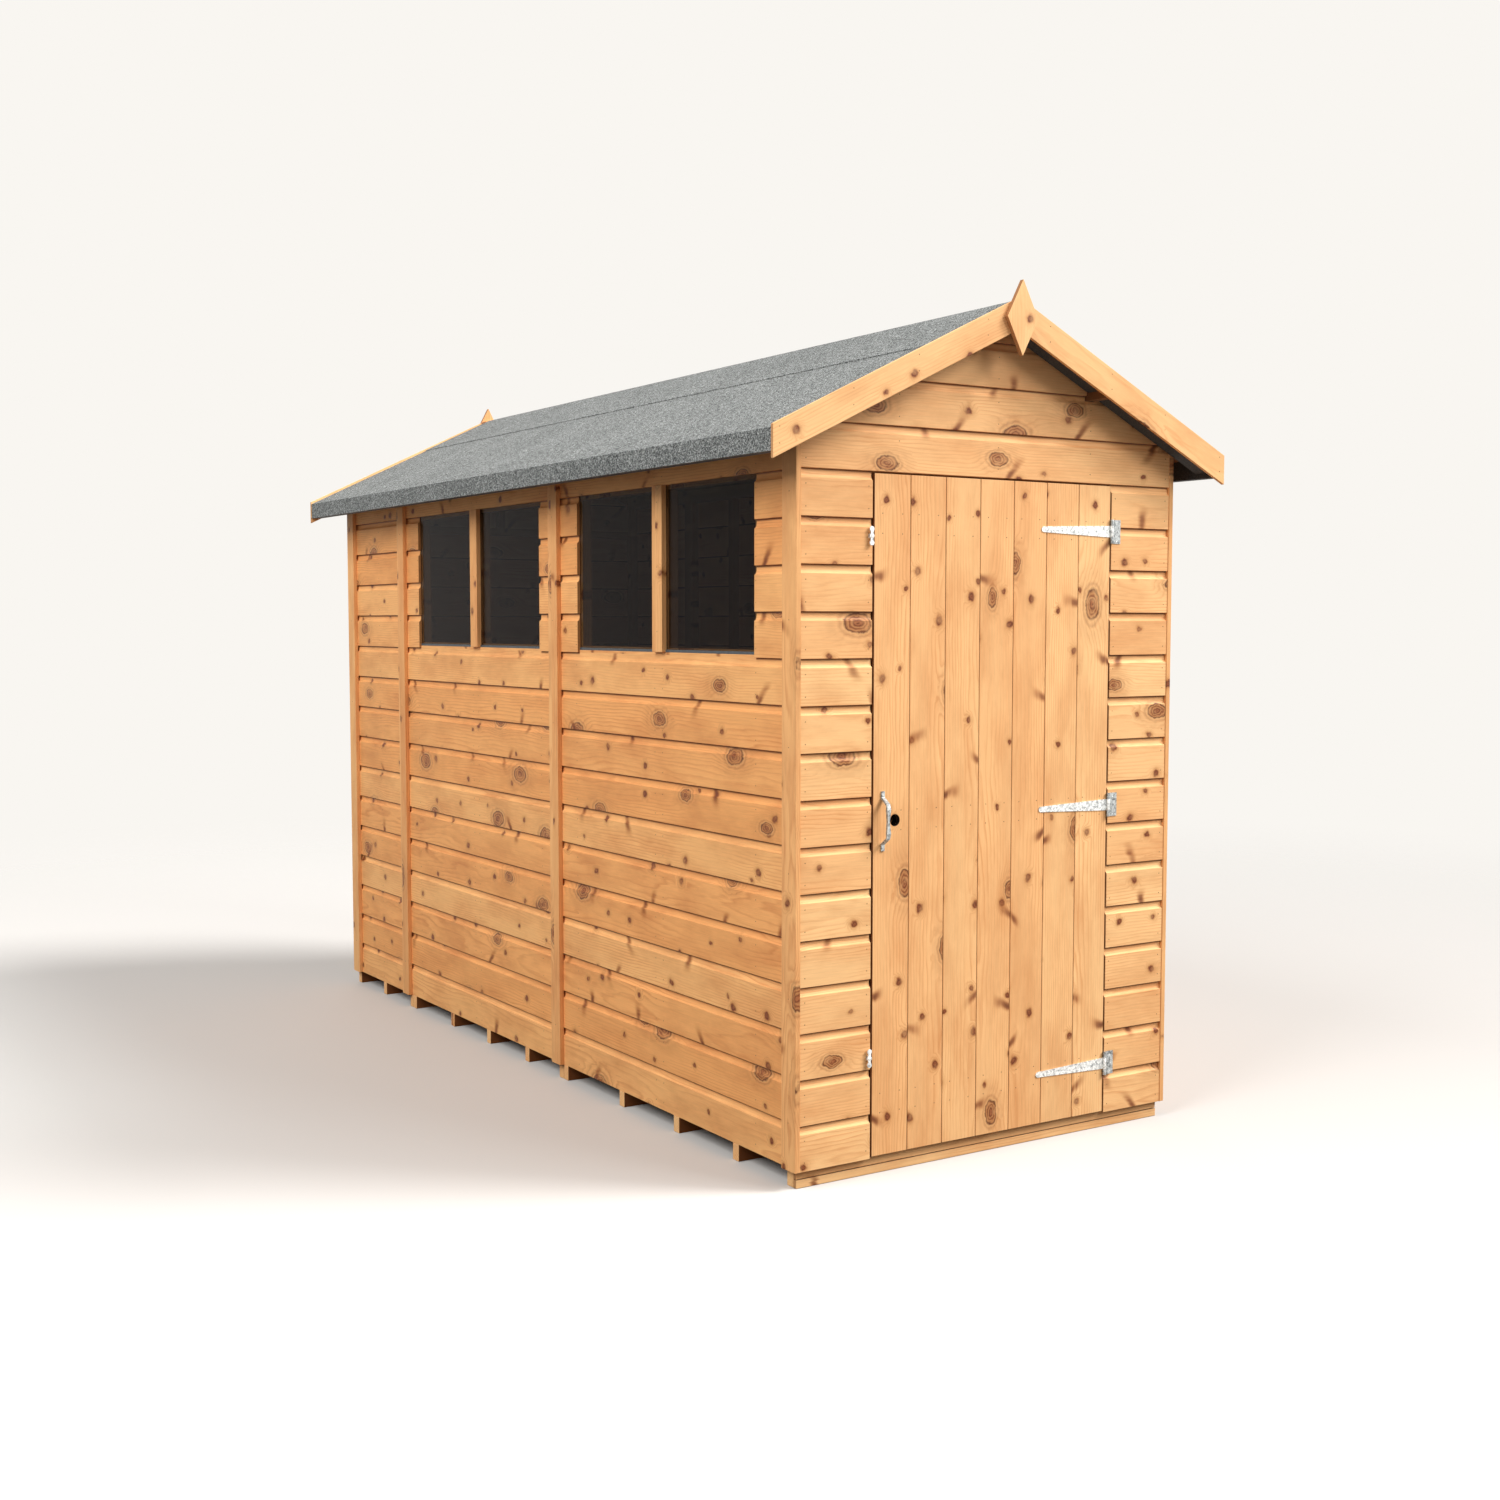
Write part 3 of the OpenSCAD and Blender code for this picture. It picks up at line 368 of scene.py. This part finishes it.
    streaks = add(tree, "MapRange", {0: ripple, 1: 0.35, 2: 0.6, 3: 0.55, 4: 1.0})
    wing = add(tree, "Math", {0: wing, 1: streaks}, operation="MULTIPLY")
    ramp = add(tree, "ValToRGB", {0: wing}, out=None,
               stops=[(0.0, colour("#C07A40", 0)), (0.35, colour("#A8602E", 0.45)),
                      (0.7, colour("#884620", 0.8)), (1.0, colour("#6A3014", 0.92))]).outputs
    wood = add(tree, "Mix", {0: ramp["Alpha"], 6: wood, 7: ramp["Color"]}, out=2,
               data_type="RGBA")

    # Cut ends drink more of the dip and are darker; the bearers' long faces too, as painted shade
    axis, low, high, most = cut_ends_or_shade or (grain, 0.75, 0.98, 0.6)
    facing = add(tree, "TexCoord", out=1)
    facing = add(tree, "SeparateXYZ", {0: facing}, out=None).outputs["XYZ".index(axis)]
    ends = add(tree, "Math", {0: facing}, operation="ABSOLUTE")
    ends = add(tree, "MapRange", {0: ends, 1: low, 2: high, 3: 0.0, 4: most})
    wood = add(tree, "Mix", {0: ends, 6: wood, 7: colour("#8A5028")}, out=2, data_type="RGBA")

    # Painted shade, with some dirt, in the crease along each edge, left out at the sills
    for side, deep in zip((-1, 1), joints):
        crease = add(tree, "Math", {0: within, 1: side}, operation="MULTIPLY")
        crease = add(tree, "MapRange", {0: crease, 1: width / 2 - 1.6 * deep,
                                        2: width / 2 - 0.4 * deep, 3: 0.0, 4: 0.88})
        for middle, half_width, height in sills:
            at_height = add(tree, "Math", {0: axes["Z"], 1: height, 2: 0.009}, operation="COMPARE")
            at_window = add(tree, "Math", {0: axes["Y"], 1: middle, 2: half_width},
                            operation="COMPARE")
            on_left = add(tree, "Math", {0: axes["X"], 1: 0.0}, operation="LESS_THAN")
            sill = add(tree, "Math", {0: at_height, 1: at_window}, operation="MULTIPLY")
            sill = add(tree, "Math", {0: sill, 1: on_left}, operation="MULTIPLY")
            lapped = add(tree, "Math", {0: 1.0, 1: sill}, operation="SUBTRACT")
            crease = add(tree, "Math", {0: crease, 1: lapped}, operation="MULTIPLY")
        wood = add(tree, "Mix", {0: crease, 6: wood, 7: colour("#5E2E14")}, out=2,
                   data_type="RGBA")

    relief = add(tree, "Math", {0: fibre, 1: 0.6, 2: strength}, operation="MULTIPLY_ADD")
    relief = add(tree, "Math", {0: marks, 1: 0.5, 2: relief}, operation="MULTIPLY_ADD")
    relief = add(tree, "Bump", {"Strength": 0.35, "Distance": 0.0006, "Height": relief})
    dull = add(tree, "MapRange", {0: marks, 3: 0.62, 4: 0.5})
    connect(tree, skin, {"Base Color": wood, "Roughness": dull, "Specular IOR Level": 0.3,
                         "Normal": relief})
    return material


# Dipped and planed spruce is a warm honey. Sawn spruce is drawn browner, partly for its rough
# face and partly as painted shade, as it is only seen unlit inside the shed
honey = ("#FFCE92", "#F9C084", "#CC8248")
sawn = ("#D49C60", "#BE8650", "#8E5A34")

# Bearers' long faces are painted dark as painted shade under the floor, facing boards show a
# bright face, and floor boards thin dark joints
bearer_wood = timber("sawn spruce bearers", "X", "Y", 0.0, (-1.53, 0.17), honey, seed=3.0,
                     cut_ends_or_shade=("Y", 0.6, 0.9, 1.0))
facing_wood = timber("planed spruce facing", "X", "Z", 1.476, (0.0, 0.0215), honey, apart=("Y",),
                     joints=(0.001, 0.001), seed=5.0)
floor_wood = timber("tongued spruce floor boards", "Y", "X", 0.055, (-0.584, 0.0973), sawn,
                    joints=(0.001, 0.001), seed=7.0)
for name, wood in (("floor_bearers", bearer_wood), ("base_facing", facing_wood),
                   ("floor_front", floor_wood), ("floor_middle", floor_wood),
                   ("floor_rear", floor_wood)):
    wear(nodes[name], wood)
    soften(nodes[name], 0.0008)


# Wall frames
# Sawn 28 mm square spruce, nailed up into one frame for each wall panel, with posts beside the
# windows and the door. Seen from inside and through the panes.
side_rails = (0.069, 1.2734, 1.716, 1.823)
gable_rails = (0.069, 0.873, 1.690, 1.705)
# Upright grain in the posts and level grain in the rails, browner than the planed boards, partly
# as painted shade
side_frame_wood = timber("sawn spruce side frames", "Z", "Y", 0.584, (-1.45, 0.12), sawn,
                         apart=("X",), rails=side_rails, seed=11.0)
gable_frame_wood = timber("sawn spruce gable frames", "Z", "X", 1.478, (-0.66, 0.13), sawn,
                          apart=("Y",), rails=gable_rails, seed=13.0)
for name in ("left_frame_front", "left_frame_middle", "left_frame_rear", "right_frame"):
    wear(nodes[name], side_frame_wood)
for name in ("front_frame_left", "front_frame_right", "front_frame_gable", "back_frame"):
    wear(nodes[name], gable_frame_wood)


# Cladding
# Shiplap boards of dip-treated spruce, 12 mm thick and 111 mm to the weather, with a scoop along
# the top edge that the next board laps over. Each is nailed to every post it crosses.
first_lap, board_rise = 0.043, 0.1114
gable_face, side_face = 1.490, 0.596
window_middles, sill_half, sill_height = (-0.820, 0.368), 0.469, 1.2684
# The boards are bright honey with brown knots and a brown crease under each lap, painted shade
# with some dirt. The side boards are painted darker and redder than the gables, as painted shade
gable_cladding = timber("dip-treated spruce shiplap of the gables", "X", "Z", gable_face,
                        (first_lap, board_rise), honey, apart=("Y",), joints=(0, 0.0038))
side_cladding = timber("dip-treated spruce shiplap of the sides", "Y", "Z", side_face,
                       (first_lap, board_rise), ("#FDC280", "#F5B06D", "#C27440"), apart=("X",),
                       joints=(0, 0.0042), seed=2.0,
                       sills=[(middle, sill_half, sill_height) for middle in window_middles])
for name in ("front_boards_left", "front_boards_right", "front_boards_gable", "back_boards"):
    wear(nodes[name], gable_cladding)
    soften(nodes[name], 0.0012)
for side in ("left", "right"):
    for part in ("front", "middle", "rear"):
        wear(nodes[f"{side}_boards_{part}"], side_cladding)
        soften(nodes[f"{side}_boards_{part}"], 0.0012)


# Wall nails
# Galvanised lost-head nails, 3.4 mm across the head and set nearly flush: two at each post that a
# board crosses, and one row down each cover strip.
def heads(name, spots, radius, segments, material, body, dish=0.0):
    """Nail or screw heads, each at a place on a surface and facing the given way."""
    thickness, proud, taper, rim = 0.0012, 0.0003, 0.82, 0.36
    mesh = bmesh.new()
    for spot, way in spots:
        turn = Vector(way).to_track_quat("Z", "Y").to_matrix().to_4x4()
        middle = Vector(spot) + Vector(way) * (proud - thickness / 2)
        head = bmesh.ops.create_cone(mesh, cap_ends=True, segments=segments, radius1=radius,
                                     radius2=radius * taper, depth=thickness,
                                     matrix=Matrix.Translation(middle) @ turn)["verts"]
        if dish:
            top = [f for f in {f for v in head for f in v.link_faces}
                   if len(f.verts) > 4 and f.normal.dot(Vector(way)) > 0.9]
            bmesh.ops.inset_region(mesh, faces=top, thickness=radius * rim, depth=-dish)
    bmesh.ops.recalc_face_normals(mesh, faces=mesh.faces)
    piece = new_piece(name, mesh, material)
    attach(piece, body)


def roof_underside(x):
    """Height of the roof's underside at a distance from the ridge: it drops 0.4813 m a metre."""
    return 1.837 + (side_face - x) * 0.4813


# The dip has dulled the zinc, so that a nail is a faint dot, browner than the wood
nail_steel, tree, skin = new_material("galvanised nails dulled by the dip")
film = add(tree, "TexCoord", out=3)
film = add(tree, "TexNoise", {"Vector": film, "Scale": 400.0, "Detail": 2.0})
film = add(tree, "ValToRGB", {0: film}, stops=[(0.35, colour("#7E5634")), (0.7, colour("#B98A58"))])
connect(tree, skin, {"Base Color": film, "Metallic": 0.5, "Roughness": 0.5})
nail = {"radius": 0.0017, "segments": 8, "material": nail_steel}

nail_rise, corner_post, door_post, rear_post = (0.022, 0.075), 0.5816, 0.400, 1.210
right_posts = (-1.1348, -0.8340, -0.5332, 0.0862, 0.3760, 0.6658)
board_rows, side_rows, window_rows, over_door, side_top = 19, 16, range(11, 15), 15, 1.82
spots = []
for row in range(board_rows):
    for z in (first_lap + row * board_rise + rise for rise in nail_rise):
        if row < side_rows and z < side_top:
            # Each panel with windows has four posts, of which the outer two stand beside them
            for middle in window_middles:
                posts = (-0.477, 0.477) if row in window_rows else (-0.477, -0.02, 0.02, 0.477)
                spots += [((-side_face, middle + y, z), (-1, 0, 0)) for y in posts]
            spots += [((side * side_face, rear_post, z), (side, 0, 0)) for side in (-1, 1)]
            spots += [((side_face, y, z), (1, 0, 0)) for y in right_posts]
        for x in (0.0, 0.310, corner_post):
            # The gables' boards end under the roof, and the purlins pass through them
            if z > roof_underside(x) - (0.02 if x == corner_post else 0.062):
                continue
            ends = (-1, 1) if row >= over_door else (1,) if x else ()
            for side in ((-1, 1) if x else (1,)):
                spots += [((side * x, end * gable_face, z), (0, end, 0)) for end in ends]
                if row < over_door and x == corner_post:
                    # Beside the door a short board has a post at both ends
                    spots += [((side * post, -gable_face, z), (0, -1, 0))
                              for post in (door_post, corner_post)]
strip_face, mullion_face = 0.610, 0.6004
for z in (0.16, 0.46, 0.76, 1.06, 1.36, 1.66):
    spots += [((side * strip_face, y, z), (side, 0, 0))
              for side in (-1, 1) for y in (-1.462, -0.218, 0.970, 1.462)]
spots += [((-mullion_face, y, z), (-1, 0, 0)) for y in window_middles for z in (1.33, 1.50, 1.67)]
heads("wall_nails", spots, body="shed", **nail)


# Windows
# Four fixed panes of styrene sheet behind the boards, bedded on a soft sealant bead along the sill,
# with a planed spruce strip over the joint between the two panes of a pair.

# The sheet hardly mirrors. It is painted near black at about half cover, as painted shade of the
# unlit room, and the far boards show through it faintly
glazing, tree, skin = new_material("clear styrene sheet")
haze = add(tree, "TexCoord", out=3)
haze = add(tree, "TexNoise", {"Vector": haze, "Scale": 6.0, "Detail": 3.0})
haze = add(tree, "MapRange", {0: haze, 3: 0.04, 4: 0.12})
connect(tree, skin, {"Base Color": colour("#120D0C"), "Alpha": 0.44, "Specular IOR Level": 0.08,
                     "Roughness": haze})
wear(nodes["window_panes"], glazing)

# Planed strips are as bright as the boards
strip_wood = timber("planed spruce strips", "Z", "Y", strip_face, (-1.612, 0.2),
                    ("#FBC384", "#EFB072", "#C27440"), apart=("X",), seed=17.0)
wear(nodes["window_mullions"], strip_wood)
soften(nodes["window_mullions"], 0.001)

# Skinned-over sealant is a dull grey line with soft lumps
sealant, tree, skin = new_material("grey glazing sealant")
lumps = add(tree, "TexCoord", out=3)
lumps = add(tree, "TexNoise", {"Vector": lumps, "Scale": 90.0, "Detail": 2.0})
connect(tree, skin, {
    "Base Color": add(tree, "ValToRGB", {0: lumps},
                      stops=[(0.3, colour("#353B40")), (0.7, colour("#4B5359"))]),
    "Normal": add(tree, "Bump", {"Strength": 0.4, "Distance": 0.0006, "Height": lumps})})

bead_x, bead_z, bead_depth, bead_height = -0.5882, 1.2790, 0.0024, 0.0070
bead_end, half_mullion = 0.468, 0.0265
mesh = bmesh.new()
for middle in window_middles:
    for low, high in ((middle - bead_end, middle - half_mullion),
                      (middle + half_mullion, middle + bead_end)):
        strip = bmesh.ops.create_cube(
            mesh, size=1, matrix=Matrix.Translation((bead_x, (low + high) / 2, bead_z))
            @ Matrix.Diagonal((bead_depth, high - low, bead_height, 1)))["verts"]
        front = [e for e in {e for v in strip for e in v.link_edges}
                 if all(v.co.x < bead_x and v.co.z > bead_z for v in e.verts)]
        bmesh.ops.bevel(mesh, geom=front, offset=0.0018, affect="EDGES", segments=4, profile=0.5,
                        material=-1)
beads = new_piece("window_beads", mesh, sealant)
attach(beads, "shed")


# Cover strips
# Planed spruce strips, 14 mm thick, nailed upright over the corners and over the joints between
# the wall panels.
for name in ("corner_strips", "joint_strips"):
    wear(nodes[name], strip_wood)
    soften(nodes[name], 0.0012)


# Roof boards and purlins
# Tongued boards run down the slope over three purlins and an eaves batten on each side. Only
# their undersides show, under the overhangs and from inside.
roof_depth, bare_and_shaded = 1.9, ("#8A5E38", "#744A2A", "#4E2E18")
# This wood has a thin coat only. Its dark brown is painted shade, as it is always in shade
roof_wood = timber("tongued spruce roof boards", "X", "Y", roof_depth, (-1.552, 0.097),
                   bare_and_shaded, joints=(0.001, 0.001), seed=19.0)
purlin_wood = timber("sawn spruce purlins", "Y", "X", roof_depth, (-0.76, 0.155), bare_and_shaded,
                     seed=23.0)
for name in ("roof_boards_left", "roof_boards_right"):
    wear(nodes[name], roof_wood)
wear(nodes["roof_purlins"], purlin_wood)


# Verge battens
# Bars 38 mm deep, nailed under the ends of the roof boards between the purlin ends. The felt is
# folded under them, so that its black bitumen side shows; its near-black is also painted shade.

# Bitumen dusted with sand is matt and nearly black, and this near-black is also painted shade for
# the deep shade under the verges and eaves
bitumen, tree, skin = new_material("black bitumen and painted shade under the felt")
sand = add(tree, "TexCoord", out=3)
sand = add(tree, "TexNoise", {"Vector": sand, "Scale": 320.0, "Detail": 2.0})
connect(tree, skin, {
    "Base Color": add(tree, "ValToRGB", {0: sand},
                      stops=[(0.4, colour("#191614")), (0.75, colour("#4A4744"))]),
    "Roughness": 0.8,
    "Normal": add(tree, "Bump", {"Strength": 0.4, "Distance": 0.0008, "Height": sand})})

batten_width, batten_depth, batten_y, under_boards = 0.062, 0.038, 1.525, 0.0192
mesh = bmesh.new()
for side in (-1, 1):
    for end in (-1, 1):
        # From the ridge to the middle purlin, and on to the eaves batten
        for low, high in ((0.015, 0.295), (0.325, 0.690)):
            middle = (side * (low + high) / 2, end * batten_y, 0)
            bar = bmesh.ops.create_cube(
                mesh, size=1, matrix=Matrix.Translation(middle)
                @ Matrix.Diagonal((high - low, batten_width, batten_depth, 1)))["verts"]
            for v in bar:
                v.co.z += roof_underside(abs(v.co.x)) - under_boards
bmesh.ops.bevel(mesh, geom=list(mesh.edges), offset=0.0008, affect="EDGES", segments=1,
                profile=0.5, material=-1)
bmesh.ops.recalc_face_normals(mesh, faces=mesh.faces)
verge_battens = new_piece("verge_battens", mesh, bitumen)
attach(verge_battens, "shed")


# Roofing felt
# Bitumen felt surfaced with crushed slate: one sheet on each slope turned down at the eaves, and a
# third sheet lapped over both at the ridge.

# Slate grit is about 1 mm. It is drawn at 2.5 mm so that it shows as light and dark specks on matt
# grey
slate, tree, skin = new_material("mineral-surfaced bitumen felt")
place = add(tree, "TexCoord", out=3)
grit = add(tree, "TexVoronoi", {"Vector": place, "Scale": 400.0}, out=None).outputs
speck = add(tree, "SeparateColor", {0: grit["Color"]}, out=None).outputs[0]
drift = add(tree, "TexNoise", {"Vector": place, "Scale": 5.0, "Detail": 4.0})
clumps = add(tree, "TexNoise", {"Vector": place, "Scale": 90.0, "Detail": 3.0})
tone = add(tree, "Math", {0: speck, 1: 0.75}, operation="MULTIPLY")
tone = add(tree, "Math", {0: clumps, 1: 0.3, 2: tone}, operation="MULTIPLY_ADD")
tone = add(tree, "Math", {0: drift, 1: 0.18, 2: tone}, operation="MULTIPLY_ADD")
stone = add(tree, "ValToRGB", {0: tone},
            stops=[(0.3, colour("#202223")), (0.55, colour("#5D6263")), (0.72, colour("#7F8484")),
                   (0.95, colour("#B4B8B8"))])
height = add(tree, "Math", {0: speck, 1: 0.7, 2: clumps}, operation="MULTIPLY_ADD")
relief = add(tree, "Bump", {"Strength": 0.6, "Distance": 0.0015, "Height": height})
connect(tree, skin, {"Base Color": stone, "Roughness": 0.9, "Normal": relief})
for name in ("felt_left", "felt_right", "felt_ridge"):
    wear(nodes[name], slate)
    soften(nodes[name], 0.0008)
# The felt is folded round the eaves battens, which are part of the purlins' node. Their
# near-black bitumen is also painted shade under the eaves
eaves_battens_from = 0.68
nodes["roof_purlins"].data.materials.append(bitumen)
for face in nodes["roof_purlins"].data.polygons:
    if abs(face.center.x) > eaves_battens_from:
        face.material_index = 1


# Bargeboards and finials
# Planed spruce boards nailed to the ends of the roof, with a diamond finial over the joint at the
# ridge of each gable.
barge_face, finial_face, pitch = 1.566, 1.578, math.radians(25.7)
# Bright honey like the gables, with the grain down the slope. A finial's edges are cut ends
barge_wood = timber("planed spruce bargeboards", "X", "Z", barge_face, (1.80, 0.33), honey,
                    apart=("X", "Y"), slope=pitch)
finial_wood = timber("planed spruce finials", "Z", "X", finial_face, (-0.1, 0.2), honey,
                     apart=("Y",), seed=29.0, cut_ends_or_shade=("Y", 0.6, 0.2, 0.8))
for name, wood in (("bargeboards_front", barge_wood), ("bargeboards_back", barge_wood),
                   ("finials", finial_wood)):
    wear(nodes[name], wood)
    soften(nodes[name], 0.0012)
heads("bargeboard_nails",
      [((side * x, end * barge_face, roof_underside(x) + z), (0, end, 0))
       for x in (0.10, 0.31, 0.50, 0.705) for z in (-0.028, 0.010)
       for side in (-1, 1) for end in (-1, 1)],
      body="shed", **nail)


# Door
# Seven upright matchboards with V joints, nailed to three ledges and two braces on the back. The
# hole for a lock is bored through the boards and the middle ledge.
door_edge, door_width, door_boards = -0.383, 0.766, 7
ledges = (0.178, 0.873, 1.591)
lock_hole, hole_radius = (-0.317, 0, 0.873), 0.0149
# The same honey as the gables, with upright grain and fine dark joints
door_wood = timber("dip-treated spruce matchboard", "Z", "X", gable_face,
                   (door_edge, door_width / door_boards), honey, joints=(0.0007, 0.0007), seed=31.0)
ledge_wood = timber("planed spruce ledges", "X", "Z", 1.460, (0.043, 0.2), honey, seed=37.0)
for material in (door_wood, ledge_wood):
    # The inside of the bore is painted near black, as painted shade in the hole
    tree = material.node_tree
    wood = tree.nodes["Principled BSDF"].inputs["Base Color"]
    off = add(tree, "TexCoord", out=3)
    off = add(tree, "VectorMath", {0: off, 1: (1, 0, 1)}, operation="MULTIPLY")
    off = add(tree, "VectorMath", {0: off, 1: lock_hole}, out=1, operation="DISTANCE")
    inside = add(tree, "Math", {0: off, 1: hole_radius}, operation="LESS_THAN")
    bored = add(tree, "Mix", {0: inside, 6: wood.links[0].from_socket, 7: colour("#1C120C")}, out=2,
                data_type="RGBA")
    tree.links.new(bored, wood)
wear(nodes["door_boards"], door_wood)
soften(nodes["door_boards"], 0.0008)
wear(nodes["door_ledges"], ledge_wood)
soften(nodes["door_ledges"], 0.001)
spots = []
for i in range(door_boards):
    middle = door_edge + (i + 0.5) * door_width / door_boards
    for x in (middle - 0.03, middle + 0.03):
        for ledge in ledges:
            # The handle is in the way of two of them
            if not (i == 0 and x < middle and ledge == ledges[1]):
                spots += [((x, -gable_face, ledge + z), (0, -1, 0)) for z in (-0.024, 0.024)]
heads("door_nails", spots, body="door", **nail)


# Hinges, handle and turn buttons
# Pressed steel tee hinges, a bent pull handle and two turn buttons, all hot-dip galvanised and held
# by countersunk screws: four in each strap, three in each plate and one in each tab of the handle.
def galvanised(name, dark, light):
    """Hot-dip galvanised steel: matt zinc with spangles and grey stains.
    Spangles are 1 to 2 mm on such thin steel. They are drawn at 4 mm so that they show."""
    material, tree, skin = new_material(name)
    place = add(tree, "TexCoord", out=3)
    spangle = add(tree, "TexVoronoi", {"Vector": place, "Scale": 250.0}, out=1)
    spangle = add(tree, "SeparateColor", {0: spangle}, out=None).outputs[0]
    stain = add(tree, "TexNoise", {"Vector": place, "Scale": 110.0, "Detail": 4.0})
    mottle = add(tree, "Math", {0: spangle, 1: 0.45}, operation="MULTIPLY")
    mottle = add(tree, "Math", {0: stain, 1: 1.0, 2: mottle}, operation="MULTIPLY_ADD")
    connect(tree, skin, {
        "Base Color": add(tree, "ValToRGB", {0: mottle},
                          stops=[(0.42, colour(dark)), (0.86, colour(light))]),
        "Metallic": 1.0,
        "Roughness": add(tree, "MapRange", {0: spangle, 3: 0.48, 4: 0.64}),
        "Normal": add(tree, "Bump", {"Strength": 0.25, "Distance": 0.0003, "Height": stain})})
    return material


# New zinc is nearly white with grey spangles. Zinc that is handled and rained on goes a dull grey
bright_zinc = galvanised("hot-dip galvanised hinge straps", "#9DA1A3", "#E6E8E7")
dull_zinc = galvanised("weathered galvanised fittings", "#707476", "#B8BCBC")
for name, zinc in (("hinge_straps", bright_zinc), ("hinge_plates", dull_zinc),
                   ("door_handle", dull_zinc), ("turn_button_top", bright_zinc),
                   ("turn_button_bottom", bright_zinc), ("button_screws", bright_zinc)):
    wear(nodes[name], zinc)
    soften(nodes[name], 0.0005)

outwards = (0, -1, 0)
hinge_pin, plate_middle, strap_face, tab_face = 0.3855, 0.4045, -1.492, -1.4935
handle_x, handle_z = -0.355, 0.873
screw = {"segments": 12, "dish": 0.0007}
heads("strap_screws",
      [((hinge_pin - x, strap_face, z), outwards)
       for x in (0.04, 0.10, 0.16, 0.215) for z in ledges],
      radius=0.0034, material=dull_zinc, body="door", **screw)
heads("handle_screws",
      [((handle_x, tab_face, handle_z + z), outwards) for z in (-0.0655, 0.0655)],
      radius=0.0030, material=bright_zinc, body="door", **screw)
heads("plate_screws",
      [((plate_middle + x, strap_face, ledge + z), outwards)
       for ledge in ledges for x, z in ((0, -0.022), (0.004, 0), (0, 0.022))],
      radius=0.0034, material=bright_zinc, body="shed", **screw)

size = {"cad": [list(corner) for corner in cad_box], "visual": [list(corner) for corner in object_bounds()]}
